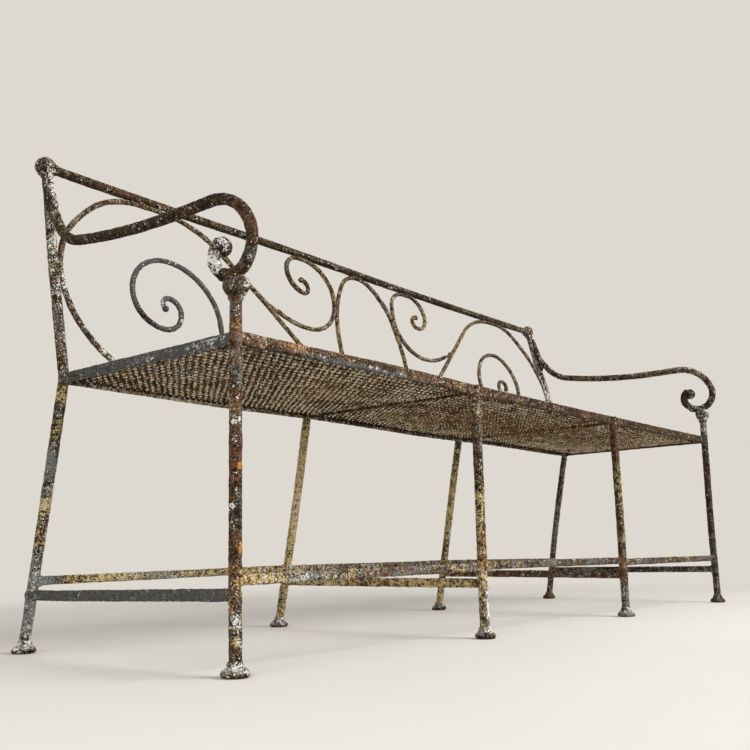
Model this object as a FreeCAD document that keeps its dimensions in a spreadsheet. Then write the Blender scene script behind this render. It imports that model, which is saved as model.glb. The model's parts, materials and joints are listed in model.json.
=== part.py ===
"""Wrought iron garden bench: a long, low seat of woven wire on eight bar legs, with a scrolled back.

Millimetres, +X along the bench, +Y to the back, +Z up. The origin is on the floor, under the middle of
the bench's outer box.
"""
import FreeCAD
import Part
import Sketcher
import math
import os

doc = FreeCAD.newDocument("garden_bench")
Vector = FreeCAD.Vector
SIDES = {"left": -1, "right": 1}

# Driving dimensions, one to a row of the sheet.
DRIVING = [
    ("bench_length", 1692, "between the axes of the end posts"),
    ("seat_depth", 426, "between the axes of the front and back posts at the seat"),
    ("seat_level", 435, "floor to the middle of the seat rails"),
    ("back_rise", 405, "middle of the seat rails to the axis of the top rail"),
    ("back_lean", 102.5, "how far the back leans over that rise"),
    ("back_splay", 83, "how far the back legs splay at the floor"),
    ("back_bend_radius", 40, "bend of the end back posts at the seat"),
    ("bar_diameter", 16, "round bar of legs, posts, arms and top rail"),
    ("scroll_diameter", 9, "round bar of the scrollwork"),
    ("ball_diameter", 35, "balls on the posts"),
    ("ball_socket_floor", 4, "from a ball's middle to the end of the post in it"),
    ("top_rail_gap", 1, "inside a finial, from the post's side to the end of the top rail"),
    ("front_ball_level", 507, "floor to the middle of the front balls"),
    ("foot_diameter", 36, "widest round of a foot"),
    ("foot_top_diameter", 20.5, "collar of a foot, round the leg"),
    ("foot_height", 22, "floor to the top of a foot"),
    ("foot_rim_height", 8.5, "floor to the upper corner of the rim"),
    ("foot_rim_round", 3, "rounding of the rim"),
    ("foot_floor", 6, "floor to the end of the leg in its foot"),
    ("rail_height", 17, "front and back seat rails"),
    ("rail_thickness", 7, "all seat rails"),
    ("side_rail_height", 15, "side rails and cross bars of the seat"),
    ("long_stretcher_height", 13, "bars between the legs along the bench"),
    ("cross_stretcher_height", 15, "bars between the legs across the bench"),
    ("stretcher_thickness", 6, "all stretchers"),
    ("bar_edge_round", 2, "rounding along the flat bars"),
    ("long_stretcher_level", 117, "floor to the middle of the long stretchers"),
    ("cross_stretcher_level", 92, "floor to the middle of the cross stretchers"),
    ("tenon_diameter", 5, "tenons on rails and stretchers"),
    ("tenon_length", 5, "depth of those tenons in a leg"),
    ("through_tenon_diameter", 5.5, "cross bar tenons, through leg and rail"),
    ("scroll_tenon_diameter", 3.6, "tenons on the feet of the scrollwork"),
    ("scroll_tenon_length", 5, "depth of those tenons in the back rail"),
    ("joint_clearance", 0.2, "play all round in sockets, slots, tenon holes and coped ends"),
    ("contact_gap", 0.3, "between bars that lie against each other"),
    ("arm_root_share", 0.658, "share of the way from arm rest to top rail at which an arm leaves its post"),
    ("arm_root_angle", 22.5, "degrees between arm and post there"),
    ("arm_root_radius", 100, "bend from the root into the arm rest"),
    ("arm_rest_radius", 1500, "slight hollow of the arm rest"),
    ("arm_rest_flat", 70, "straight part of the arm rest"),
    ("arm_level", 644, "floor to the axis of the arm rest"),
    ("arm_brow_radius", 95, "first bend of the front roll"),
    ("arm_roll_radius", 44, "main bend of the front roll"),
    ("arm_curl_radius", 27, "last bend, into the eye"),
    ("arm_curl_start", 230, "degrees turned from the arm rest where the curl starts"),
    ("arm_curl_end", 330, "degrees turned from the arm rest where the curl ends"),
    ("arm_eye_diameter", 24, "ball at the end of the curl"),
    ("arm_eye_inset", 13, "from the curl's end in to the eye's middle"),
    ("arm_roll_setback", 10, "from the front post back to the roll's middle"),
    ("arm_seat_rise", 16, "ball's middle to the axis of the arm that lies in its top"),
    ("arch_half_width", 121.5, "centre arch, middle to leg"),
    ("arch_spring", 190, "seat rail to where the arch's legs start to bend"),
    ("arch_top_radius", 80, "top of the arch"),
    ("loop_flat", 38, "part of the loop that lies along the top rail"),
    ("loop_brow_radius", 230, "loop's bend from the top rail into its slant"),
    ("loop_foot_radius", 160, "loop's bend from its slant into the foot"),
    ("loop_foot_rise", 40, "straight foot of the loop"),
    ("scroll_tail_radius", 200, "tail of the S scroll, up to the loop"),
    ("scroll_bowl_radius", 107.5, "bowl of the S scroll"),
    ("scroll_head_radius", 80, "rise of the S scroll to the top rail"),
    ("scroll_flat", 18, "part of the S scroll that lies along the top rail"),
    ("scroll_coil_radius", 52, "outer quarter of the S scroll's coil"),
    ("scroll_curl_radius", 44, "second quarter of that coil"),
    ("scroll_eye_radius", 17, "inner coil of the S scroll"),
    ("scroll_eye_turn", 190, "degrees of that inner coil"),
    ("scroll_tip_diameter", 12, "knob at the end of a scroll"),
    ("spiral_from_post", 374, "from the end post to the foot of the end spiral"),
    ("spiral_spring", 178, "seat rail to where the end spiral starts to bend"),
    ("spiral_radius_1", 112, "first quarter turn of the end spiral"),
    ("spiral_radius_2", 92, "second quarter"),
    ("spiral_radius_3", 62, "third quarter"),
    ("spiral_radius_4", 45, "fourth quarter"),
    ("spiral_radius_5", 25, "fifth quarter"),
    ("spiral_radius_6", 15, "last curl"),
    ("spiral_last_turn", 130, "degrees of that last curl"),
    ("weld_diameter", 10, "round bead that a weld between two bars is cut from"),
    ("weld_setback", 6, "from the middle of a scroll's bar back to the middle of the bead"),
    ("weld_from_end", 12, "from the end of the S scroll's tail to the weld that holds it"),
    ("mesh_thickness", 3, "net that stands for two layers of woven wire"),
    ("mesh_gap", 34, "gap of that net, corner to corner"),
    ("mesh_web", 5, "between the corners of two gaps in a row"),
    ("mesh_border", 7.5, "whole edge of the net"),
]


def make_sheet():
    """The sheet of driving dimensions, each with its alias."""
    table = doc.addObject("Spreadsheet::Sheet", "Sizes")
    for row, (alias, number, meaning) in enumerate(DRIVING, start=1):
        table.set(f"A{row}", alias)
        table.set(f"B{row}", str(number))
        table.setAlias(f"B{row}", alias)
        table.set(f"C{row}", meaning)
    doc.recompute()
    return table


sheet = make_sheet()
size = {alias: float(sheet.get(alias)) for alias, _, _ in DRIVING}
nodes = {}

# Places that follow from the driving dimensions.
bar_radius = size["bar_diameter"] / 2
scroll_radius = size["scroll_diameter"] / 2
ball_radius = size["ball_diameter"] / 2
end_x = size["bench_length"] / 2
inner_x = size["bench_length"] / 6
half_depth = size["seat_depth"] / 2
arm_front = half_depth - size["arm_roll_setback"] + size["arm_roll_radius"] + bar_radius
foot_front = half_depth + size["foot_diameter"] / 2
foot_back = foot_front + size["back_splay"]
finial_back = half_depth + size["back_lean"] + ball_radius
shift_y = (max(arm_front, foot_front) - max(finial_back, foot_back)) / 2
front_y = shift_y - half_depth
back_y = shift_y + half_depth
top_level = size["seat_level"] + size["back_rise"]
rail_top = size["seat_level"] + size["rail_height"] / 2
back_length = math.hypot(size["back_lean"], size["back_rise"])
lean_sine = size["back_lean"] / back_length
lean_cosine = size["back_rise"] / back_length
front_way = Vector(0, -lean_cosine, lean_sine)
side_way = Vector(1, 0, 0)


def back_leg_y(level):
    """Where the axis of a splayed back leg is at a height under the seat."""
    return back_y + size["back_splay"] * (1 - level / size["seat_level"])


def finish(name, shape_object):
    """Name a finished sub-part and keep it for writing."""
    shape_object.Label = name
    nodes[name] = shape_object
    return shape_object


def cut(name, base, tools):
    """Take each tool away from a base in turn."""
    for number, tool in enumerate(tools, start=1):
        step = doc.addObject("Part::Cut", f"{name}_cut_{number}")
        step.Base = base
        step.Tool = tool
        base = step
    return base


def fuse(name, pieces):
    """One solid from pieces that run into each other."""
    joined = doc.addObject("Part::MultiFuse", f"{name}_joined")
    joined.Shapes = pieces
    return joined


def cylinder(name, start, end, diameter):
    """A cylinder between two points, its diameter an expression on the sheet."""
    rod = doc.addObject("Part::Cylinder", name)
    rod.setExpression("Radius", f"({diameter}) / 2")
    rod.Height = (end - start).Length
    rod.Placement = FreeCAD.Placement(start, FreeCAD.Rotation(Vector(0, 0, 1), end - start))
    return rod


def ball(name, centre, diameter):
    """A ball whose diameter is an expression on the sheet."""
    sphere = doc.addObject("Part::Sphere", name)
    sphere.setExpression("Radius", f"({diameter}) / 2")
    sphere.Placement.Base = centre
    return sphere


def trace(start, heading, moves):
    """Tangent lines and arcs in a plane, from moves (length,) and (radius, turn), left turns positive."""
    x, y = start
    angle = math.radians(heading)
    edges = []
    for move in moves:
        if len(move) == 1:
            end = (x + move[0] * math.cos(angle), y + move[0] * math.sin(angle))
            edges.append(((x, y), end))
        else:
            radius, turn = move[0], math.radians(move[1])
            hand = math.copysign(1, turn)
            centre = (x - hand * radius * math.sin(angle), y + hand * radius * math.cos(angle))
            stops = [angle + turn * share - hand * math.pi / 2 for share in (0.5, 1)]
            middle, end = [(centre[0] + radius * math.cos(stop), centre[1] + radius * math.sin(stop))
                           for stop in stops]
            edges.append(((x, y), middle, end))
            angle += turn
        x, y = end
    return edges


def spine(name, edges, in_space):
    """A path object from plane edges, carried into space by the given function."""
    curves = []
    for edge in edges:
        points = [in_space(*point) for point in edge]
        curve = Part.LineSegment(*points) if len(points) == 2 else Part.Arc(*points)
        curves.append(curve.toShape())
    path = doc.addObject("Part::Feature", f"{name}_path")
    path.Shape = Part.Wire(curves)
    return path


def straight(name, start, end):
    """A path object with one straight run."""
    path = doc.addObject("Part::Feature", f"{name}_path")
    path.Shape = Part.Wire([Part.LineSegment(start, end).toShape()])
    return path


def round_bar(name, path, diameter, seam=side_way):
    """A round bar bent along a path, its diameter an expression on the sheet, its seam on the given side."""
    first = path.Shape.OrderedEdges[0]
    section = doc.addObject("Part::Circle", f"{name}_section")
    section.setExpression("Radius", f"({diameter}) / 2")
    tangent = first.tangentAt(first.FirstParameter)
    section.Placement = FreeCAD.Placement(
        first.valueAt(first.FirstParameter), FreeCAD.Rotation(seam, Vector(), tangent, "ZXY"))
    bar = doc.addObject("Part::Sweep", name)
    bar.Sections = [section]
    bar.Spine = (path, [f"Edge{number + 1}" for number in range(len(path.Shape.Edges))])
    bar.Solid = True
    return bar


def side_plane(x):
    """Carries (y from the middle of the seat, z) into the upright plane at x."""
    return lambda y, z: Vector(x, y + shift_y, z)


def back_plane(side):
    """Carries (distance out from the middle, distance up the back) into the leaning plane of the back."""
    return lambda out, up: Vector(
        side * out, back_y + up * lean_sine, size["seat_level"] + up * lean_cosine)


BAR = "Sizes.bar_diameter"
BAR_ROOM = "Sizes.bar_diameter + 2 * Sizes.joint_clearance"
SCROLL = "Sizes.scroll_diameter"


class Leg:
    """A leg's path, the bar on it, the room that its neighbours leave for it, and the holes it takes."""

    def __init__(self, name, path):
        self.name = name
        self.bar = round_bar(f"{name}_bar", path, BAR)
        self.room = round_bar(f"{name}_room", path, BAR_ROOM)
        self.holes = []


def make_legs():
    """Four front legs and four back legs, the end ones carried up as posts."""
    legs = {}
    foot_end = size["foot_floor"]
    ball_end = size["front_ball_level"] - size["ball_socket_floor"]
    splay = math.degrees(math.atan2(size["back_splay"], size["seat_level"]))
    lean = math.degrees(math.atan2(size["back_lean"], size["back_rise"]))
    bend_reach = size["back_bend_radius"] * math.tan(math.radians((splay + lean) / 2))
    lower_run = (size["seat_level"] - foot_end) / math.cos(math.radians(splay)) - bend_reach
    upper_run = back_length - bend_reach - size["ball_socket_floor"]
    for side, sign in SIDES.items():
        name = f"front_post_{side}"
        legs["front", side, "end"] = Leg(name, straight(
            name, Vector(sign * end_x, front_y, foot_end), Vector(sign * end_x, front_y, ball_end)))
        name = f"front_leg_{side}"
        legs["front", side, "inner"] = Leg(name, straight(
            name, Vector(sign * inner_x, front_y, foot_end), Vector(sign * inner_x, front_y, rail_top)))
        name = f"back_leg_{side}"
        legs["back", side, "inner"] = Leg(name, straight(
            name, Vector(sign * inner_x, back_leg_y(foot_end), foot_end),
            Vector(sign * inner_x, back_leg_y(rail_top), rail_top)))
        name = f"back_post_{side}"
        foot = (back_leg_y(foot_end) - shift_y, foot_end)
        moves = [(lower_run,), (size["back_bend_radius"], -splay - lean), (upper_run,)]
        legs["back", side, "end"] = Leg(name, spine(
            name, trace(foot, 90 + splay, moves), side_plane(sign * end_x)))
    return legs


legs = make_legs()


def origin_plane(body, role):
    """A body's own origin plane."""
    return next(plane for plane in body.Origin.OriginFeatures if plane.Role == role)


def attach(body, sketch, role):
    """Lay a sketch on one of its body's origin planes."""
    sketch.AttachmentSupport = [(origin_plane(body, role), "")]
    sketch.MapMode = "FlatFace"


def outline(sketch, points):
    """A closed polygon with bound corners: each coordinate is (number, expression), or None on an axis."""
    spots = [Vector(*[0 if part is None else part[0] for part in point], 0) for point in points]
    count = len(spots)
    for number in range(count):
        sketch.addGeometry(Part.LineSegment(spots[number], spots[(number + 1) % count]))
    for number in range(count):
        sketch.addConstraint(Sketcher.Constraint("Coincident", number, 2, (number + 1) % count, 1))
    for number, point in enumerate(points):
        for kind, part, axis in zip(("DistanceX", "DistanceY"), point, (-2, -1)):
            if part is None:
                sketch.addConstraint(Sketcher.Constraint("PointOnObject", number, 1, axis))
            else:
                index = sketch.addConstraint(Sketcher.Constraint(kind, -1, 1, number, 1, part[0]))
                sketch.setExpression(f"Constraints[{index}]", part[1])


def flat_bar(name, start, end, height, thickness):
    """A flat bar on edge with rounded edges, between two points at one level."""
    body = doc.addObject("PartDesign::Body", f"{name}_body")
    section = body.newObject("Sketcher::SketchObject", f"{name}_section")
    attach(body, section, "YZ_Plane")
    reach = (size[thickness] / 2, f"Sizes.{thickness} / 2")
    rise = (size[height] / 2, f"Sizes.{height} / 2")
    back = (-reach[0], f"-{reach[1]}")
    fall = (-rise[0], f"-{rise[1]}")
    outline(section, [(back, fall), (reach, fall), (reach, rise), (back, rise)])
    pad = body.newObject("PartDesign::Pad", f"{name}_pad")
    pad.Profile = section
    pad.Length = (end - start).Length
    doc.recompute()
    edges = [f"Edge{number}" for number, edge in enumerate(pad.Shape.Edges, start=1)
             if abs(edge.tangentAt(edge.FirstParameter).x) > 0.5]
    rounded = body.newObject("PartDesign::Fillet", f"{name}_round")
    rounded.Base = (pad, edges)
    rounded.setExpression("Radius", "Sizes.bar_edge_round")
    body.Tip = rounded
    body.Placement = FreeCAD.Placement(start, FreeCAD.Rotation(Vector(1, 0, 0), end - start))
    return body


def tenoned_bar(name, start_leg, end_leg, start, end, height, thickness, tenon="tenon_diameter",
                depth=None):
    """A flat bar coped to two legs, with a tenon into each, and the tenon's holes for those legs."""
    along = (end - start).normalize()
    inside = bar_radius - size["tenon_length"] if depth is None else depth
    body = flat_bar(name, start, end, height, thickness)
    coped = cut(name, body, [start_leg.room, end_leg.room])
    first, last = start + along * inside, end - along * inside
    rod = cylinder(f"{name}_tenon", first, last, f"Sizes.{tenon}")
    play = along * size["joint_clearance"]
    hole = cylinder(f"{name}_tenon_hole", first - play, last + play,
                    f"Sizes.{tenon} + 2 * Sizes.joint_clearance")
    start_leg.holes.append(hole)
    end_leg.holes.append(hole)
    return fuse(name, [coped, rod]), hole


def make_stretchers():
    """Bars near the floor: three along the front, three along the back, four across."""
    level = size["long_stretcher_level"]
    columns = [("left", "end", -end_x), ("left", "inner", -inner_x),
               ("right", "inner", inner_x), ("right", "end", end_x)]
    bays = ("left", "middle", "right")
    for row, y in (("front", front_y), ("back", back_leg_y(level))):
        for bay, first, last in zip(bays, columns, columns[1:]):
            name = f"{row}_stretcher_{bay}"
            bar, _ = tenoned_bar(
                name, legs[row, first[0], first[1]], legs[row, last[0], last[1]],
                Vector(first[2], y, level), Vector(last[2], y, level),
                "long_stretcher_height", "stretcher_thickness")
            finish(name, bar)
    level = size["cross_stretcher_level"]
    for side, place, x in columns:
        name = f"cross_stretcher_{place}_{side}"
        bar, _ = tenoned_bar(
            name, legs["front", side, place], legs["back", side, place],
            Vector(x, front_y, level), Vector(x, back_leg_y(level), level),
            "cross_stretcher_height", "stretcher_thickness")
        finish(name, bar)


def slot_room(name, y):
    """The room that a slotted leg leaves for the rail, open at the top."""
    slot = doc.addObject("Part::Box", f"{name}_slot")
    play = size["joint_clearance"]
    slot.setExpression("Length", "Sizes.bench_length")
    slot.setExpression("Width", "Sizes.rail_thickness + 2 * Sizes.joint_clearance")
    slot.setExpression("Height", "2 * Sizes.rail_height")
    slot.Placement.Base = Vector(
        -end_x, y - size["rail_thickness"] / 2 - play, rail_top - size["rail_height"] - play)
    return slot


def make_seat_frame():
    """Rails round the seat and two cross bars, whose tenons pin the slotted inner legs to the rails."""
    level = size["seat_level"]
    cross_holes = []
    for side, sign in SIDES.items():
        name = f"seat_cross_bar_{side}"
        bar, hole = tenoned_bar(
            name, legs["front", side, "inner"], legs["back", side, "inner"],
            Vector(sign * inner_x, front_y, level), Vector(sign * inner_x, back_y, level),
            "side_rail_height", "stretcher_thickness", "through_tenon_diameter", -bar_radius)
        cross_holes.append(hole)
        finish(name, bar)
        name = f"seat_rail_{side}"
        bar, _ = tenoned_bar(
            name, legs["front", side, "end"], legs["back", side, "end"],
            Vector(sign * end_x, front_y, level), Vector(sign * end_x, back_y, level),
            "side_rail_height", "rail_thickness")
        finish(name, bar)
    rails = {}
    for row, y in (("front", front_y), ("back", back_y)):
        name = f"seat_rail_{row}"
        bar, _ = tenoned_bar(
            name, legs[row, "left", "end"], legs[row, "right", "end"],
            Vector(-end_x, y, level), Vector(end_x, y, level), "rail_height", "rail_thickness")
        rails[row] = cut(f"{name}_drilled", bar, cross_holes)
        slot = slot_room(name, y)
        for side in SIDES:
            legs[row, side, "inner"].holes.append(slot)
    finish("seat_rail_front", rails["front"])
    return rails["back"]


def make_feet():
    """A turned foot under each leg, flat on the floor, bored for the leg's end."""
    rim = (size["foot_diameter"] / 2, "Sizes.foot_diameter / 2")
    collar = (size["foot_top_diameter"] / 2, "Sizes.foot_top_diameter / 2")
    corner = (size["foot_rim_height"], "Sizes.foot_rim_height")
    top = (size["foot_height"], "Sizes.foot_height")
    for (row, _, _), leg in legs.items():
        name = f"{leg.name}_foot"
        body = doc.addObject("PartDesign::Body", f"{name}_body")
        profile = body.newObject("Sketcher::SketchObject", f"{name}_profile")
        attach(body, profile, "XZ_Plane")
        outline(profile, [(None, None), (rim, None), (rim, corner), (collar, top), (None, top)])
        turned = body.newObject("PartDesign::Revolution", f"{name}_turned")
        turned.Profile = profile
        turned.ReferenceAxis = (profile, ["V_Axis"])
        turned.Angle = 360
        doc.recompute()
        edges = [f"Edge{number}" for number, edge in enumerate(turned.Shape.Edges, start=1)
                 if edge.Closed and abs(edge.Curve.Radius - rim[0]) < bar_radius / 2]
        rounded = body.newObject("PartDesign::Fillet", f"{name}_round")
        rounded.Base = (turned, edges)
        rounded.setExpression("Radius", "Sizes.foot_rim_round")
        body.Tip = rounded
        x = leg.bar.Spine[0].Shape.Vertexes[0].X
        y = front_y if row == "front" else back_leg_y(0)
        body.Placement.Base = Vector(x, y, 0)
        finish(name, cut(name, body, [leg.room]))


def make_arms():
    """Arms that leave the back posts, run forward and roll over into the tops of the front balls."""
    half_seat = half_depth - size["arm_roll_setback"]
    roll = (-half_seat, size["front_ball_level"] + size["arm_seat_rise"] + size["arm_roll_radius"])
    brow_z = size["arm_level"] - size["arm_brow_radius"]
    step = size["arm_brow_radius"] - size["arm_roll_radius"]
    brow = (roll[0] + math.sqrt(step ** 2 - (roll[1] - brow_z) ** 2), brow_z)
    brow_turn = math.degrees(math.atan2(brow[0] - roll[0], roll[1] - brow[1]))
    hollow = (brow[0] + size["arm_rest_flat"], size["arm_level"] + size["arm_rest_radius"])

    # The root bend touches the root's straight line and lies inside the arm rest's hollow.
    root_level = size["arm_level"] + size["arm_root_share"] * (top_level - size["arm_level"])
    lean = math.atan2(size["back_lean"], size["back_rise"])
    root = (half_depth + (root_level - size["seat_level"]) * math.tan(lean), root_level)
    slope = lean + math.radians(size["arm_root_angle"])
    ahead = (-math.sin(slope), -math.cos(slope))
    bend = size["arm_root_radius"]
    base = (root[0] + bend * ahead[1] - hollow[0], root[1] - bend * ahead[0] - hollow[1])
    reach = size["arm_rest_radius"] - bend
    along = base[0] * ahead[0] + base[1] * ahead[1]
    root_run = math.sqrt(along ** 2 - base[0] ** 2 - base[1] ** 2 + reach ** 2) - along
    hollow_turn = math.degrees(math.atan2(
        base[0] + root_run * ahead[0], -base[1] - root_run * ahead[1]))
    root_heading = 270 - math.degrees(slope)
    moves = [
        (root_run,),
        (bend, hollow_turn + 180 - root_heading),
        (size["arm_rest_radius"], -hollow_turn),
        (size["arm_rest_flat"],),
        (size["arm_brow_radius"], brow_turn),
        (size["arm_roll_radius"], size["arm_curl_start"] - brow_turn),
        (size["arm_curl_radius"], size["arm_curl_end"] - size["arm_curl_start"]),
    ]
    edges = trace(root, root_heading, moves)
    curl_end = edges[-1][-1]
    eye_way = math.radians(270 + size["arm_curl_end"])
    eye = (curl_end[0] + size["arm_eye_inset"] * math.cos(eye_way),
           curl_end[1] + size["arm_eye_inset"] * math.sin(eye_way))
    for side, sign in SIDES.items():
        name = f"arm_{side}"
        in_space = side_plane(sign * end_x)
        path = spine(name, edges, in_space)
        bar = round_bar(f"{name}_bar", path, BAR)
        knob = ball(f"{name}_eye", in_space(*eye), "Sizes.arm_eye_diameter")
        finish(name, cut(name, fuse(name, [bar, knob]), [legs["back", side, "end"].room]))
        rest = round_bar(f"{name}_room", path, BAR_ROOM)
        seat = ball(f"front_ball_{side}_body", Vector(sign * end_x, front_y, size["front_ball_level"]),
                    "Sizes.ball_diameter")
        name = f"front_ball_{side}"
        finish(name, cut(name, seat, [legs["front", side, "end"].room, rest]))


def make_top_rail():
    """The top rail between two ball finials, each bored for its post and for the rail."""
    y = back_y + size["back_lean"]
    reach = end_x - bar_radius - size["top_rail_gap"]
    path = straight("top_rail", Vector(-reach, y, top_level), Vector(reach, y, top_level))
    room = round_bar("top_rail_room", path, BAR_ROOM, front_way)
    finish("top_rail", round_bar("top_rail", path, BAR, front_way))
    for side, sign in SIDES.items():
        name = f"finial_{side}"
        body = ball(f"{name}_body", Vector(sign * end_x, y, top_level), "Sizes.ball_diameter")
        finish(name, cut(name, body, [legs["back", side, "end"].room, room]))


def scroll_layout():
    """Heights and circles in the plane of the back, on which the scrolls touch the frame and each other."""
    touch = scroll_radius + size["contact_gap"]
    pair = size["scroll_diameter"] + size["contact_gap"]
    spot = {}
    spot["foot"] = (size["rail_height"] / 2 + size["contact_gap"]) / lean_cosine + scroll_radius * lean_sine
    spot["low"] = (size["rail_height"] / 2 + touch) / lean_cosine
    spot["high"] = back_length - bar_radius - touch
    spot["out"] = end_x - bar_radius - touch

    # Centre arch: a small top circle inside two large side circles.
    rise = spot["high"] - size["arch_top_radius"] - size["arch_spring"]
    width, crown = size["arch_half_width"], size["arch_top_radius"]
    spot["arch_side"] = (width ** 2 + rise ** 2 - crown ** 2) / (2 * (width - crown))
    spot["arch_turn"] = math.degrees(math.atan2(rise, spot["arch_side"] - width))

    # S scroll: its head touches the top rail, its bowl the side of the arch.
    head_level = spot["high"] - size["scroll_head_radius"]
    reach = spot["arch_side"] + size["scroll_bowl_radius"] + pair
    drop = head_level - size["arch_spring"]
    bowl_out = math.sqrt(reach ** 2 - drop ** 2) + width - spot["arch_side"]
    spot["bowl"] = (bowl_out, head_level)
    spot["tail"] = (bowl_out, head_level - size["scroll_bowl_radius"] + size["scroll_tail_radius"])

    # Loop: a circle between seat rail, post and top rail, then a slant that touches the S scroll's tail.
    spot["loop_radius"] = (spot["high"] - spot["low"]) / 2
    spot["loop_out"] = spot["out"] - spot["loop_radius"]
    brow = (spot["loop_out"] - size["loop_flat"], spot["high"] - size["loop_brow_radius"])
    way = (spot["tail"][0] - brow[0], spot["tail"][1] - brow[1])
    apart = math.hypot(*way)
    spread = math.acos((size["loop_brow_radius"] + size["scroll_tail_radius"] + pair) / apart)
    spot["slant"] = math.degrees(math.atan2(way[1], way[0]) - spread) - 90
    spot["brow"] = brow
    return spot


def back_scroll(name, side, start, heading, moves, foot_ends, tip):
    """A scroll of the back: round bar on its path, with tenons on its feet and a knob on its free end."""
    in_space = back_plane(SIDES.get(side, 1))
    edges = trace(start, heading, moves)
    pieces = [round_bar(f"{name}_bar", spine(name, edges, in_space), SCROLL, front_way)]
    if tip:
        pieces.append(ball(f"{name}_tip", in_space(*edges[-1][-1]), "Sizes.scroll_tip_diameter"))
    holes = []
    for number, out in enumerate(foot_ends):
        up = spot["foot"]
        low = up - size["scroll_tenon_length"] - size["contact_gap"]
        pieces.append(cylinder(f"{name}_tenon_{number}", in_space(out, low),
                               in_space(out, up + scroll_radius), "Sizes.scroll_tenon_diameter"))
        holes.append(cylinder(
            f"{name}_tenon_hole_{number}", in_space(out, low - size["joint_clearance"]),
            in_space(out, up + scroll_radius),
            "Sizes.scroll_tenon_diameter + 2 * Sizes.joint_clearance"))
    finish(name, fuse(name, pieces) if len(pieces) > 1 else pieces[0])
    return holes


spot = scroll_layout()


def arch_moves():
    """Up one leg of the centre arch, over the top and down the other."""
    leg = size["arch_spring"] - spot["foot"]
    turn = spot["arch_turn"]
    return [(leg,), (spot["arch_side"], -turn), (size["arch_top_radius"], 2 * turn - 180),
            (spot["arch_side"], -turn), (leg,)]


def loop_moves():
    """Loop from the seat rail, out to the post, over under the top rail and down its slant to its foot."""
    slant = math.radians(spot["slant"])
    brow_end = (spot["brow"][0] - size["loop_brow_radius"] * math.sin(slant),
                spot["brow"][1] + size["loop_brow_radius"] * math.cos(slant))
    foot_bend_top = spot["foot"] + size["loop_foot_rise"] + size["loop_foot_radius"] * math.cos(slant)
    run = (brow_end[1] - foot_bend_top) / math.sin(slant)
    foot_out = (brow_end[0] - run * math.cos(slant)
                - size["loop_foot_radius"] * (1 - math.sin(slant)))
    moves = [(spot["loop_radius"], 180), (size["loop_flat"],), (size["loop_brow_radius"], spot["slant"]),
             (run,), (size["loop_foot_radius"], 90 - spot["slant"]), (size["loop_foot_rise"],)]
    return moves, foot_out


def s_scroll_moves():
    """S scroll from its tail against the loop, round its bowl, up beside the arch and over into its eye."""
    return [(size["scroll_tail_radius"], -spot["slant"]), (size["scroll_bowl_radius"], -90),
            (size["scroll_head_radius"], -90), (size["scroll_flat"],),
            (size["scroll_coil_radius"], -90), (size["scroll_curl_radius"], -90),
            (size["scroll_eye_radius"], -size["scroll_eye_turn"])]


def spiral_moves():
    """End spiral up from its foot and outward, each quarter tighter than the last."""
    moves = [(size["spiral_spring"] - spot["foot"],)]
    moves += [(size[f"spiral_radius_{quarter}"], -90) for quarter in range(1, 6)]
    return moves + [(size["spiral_radius_6"], -size["spiral_last_turn"])]


def make_back(rail):
    """Scrollwork of the back, standing on the back seat rail, which is drilled for its feet."""
    width = size["arch_half_width"]
    holes = back_scroll("centre_arch", None, (-width, spot["foot"]), 90, arch_moves(),
                        (-width, width), False)
    slant = math.radians(spot["slant"])
    tail = (spot["tail"][0] + size["scroll_tail_radius"] * math.sin(slant),
            spot["tail"][1] - size["scroll_tail_radius"] * math.cos(slant))
    foot = end_x - size["spiral_from_post"]
    moves, loop_foot = loop_moves()
    for side in SIDES:
        holes += back_scroll(f"back_loop_{side}", side, (spot["loop_out"], spot["low"]), 0, moves,
                             (loop_foot,), False)
        back_scroll(f"s_scroll_{side}", side, tail, 180 + spot["slant"], s_scroll_moves(), (), True)
        holes += back_scroll(f"end_spiral_{side}", side, (foot, spot["foot"]), 90, spiral_moves(),
                             (foot,), True)
    finish("seat_rail_back", cut("seat_rail_back_feet", rail, holes))


def make_mesh():
    """A net in each bay of the seat, between the rails and cross bars, for the woven wire."""
    gap = size["contact_gap"]
    half = size["rail_thickness"] / 2 + gap
    near, far = front_y + half, back_y - half
    rim = size["stretcher_thickness"] / 2 + gap
    bays = {"left": (-end_x + half, -inner_x - rim), "middle": (-inner_x + rim, inner_x - rim),
            "right": (inner_x + rim, end_x - half)}
    corner = bar_radius
    hole = size["mesh_gap"] / 2
    pitch = size["mesh_gap"] + size["mesh_web"]
    margin = size["mesh_border"] + hole
    level = size["seat_level"] - size["mesh_thickness"] / 2
    for bay, (low, high) in bays.items():
        edge = [(low + corner, near), (high - corner, near), (high, near + corner), (high, far - corner),
                (high - corner, far), (low + corner, far), (low, far - corner), (low, near + corner)]
        wires = [Part.makePolygon([Vector(x, y, level) for x, y in edge + edge[:1]])]
        across = int((high - low - 2 * margin) // pitch)
        deep = int((far - near - 2 * margin) // pitch)
        middle_x, middle_y = (low + high) / 2, (near + far) / 2
        for columns, lines in ((across, deep), (across - 1, deep - 1)):
            for column in range(columns + 1):
                for line in range(lines + 1):
                    x = middle_x + (column - columns / 2) * pitch
                    y = middle_y + (line - lines / 2) * pitch
                    diamond = [(x - hole, y), (x, y - hole), (x + hole, y), (x, y + hole), (x - hole, y)]
                    wires.append(Part.makePolygon([Vector(*point, level) for point in diamond]))
        face = Part.Face(wires[0]).cut([Part.Face(wire) for wire in wires[1:]])
        net = doc.addObject("Part::Feature", f"seat_mesh_{bay}_net")
        net.Shape = face.Faces[0].extrude(Vector(0, 0, size["mesh_thickness"]))
        finish(f"seat_mesh_{bay}", net)


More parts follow.
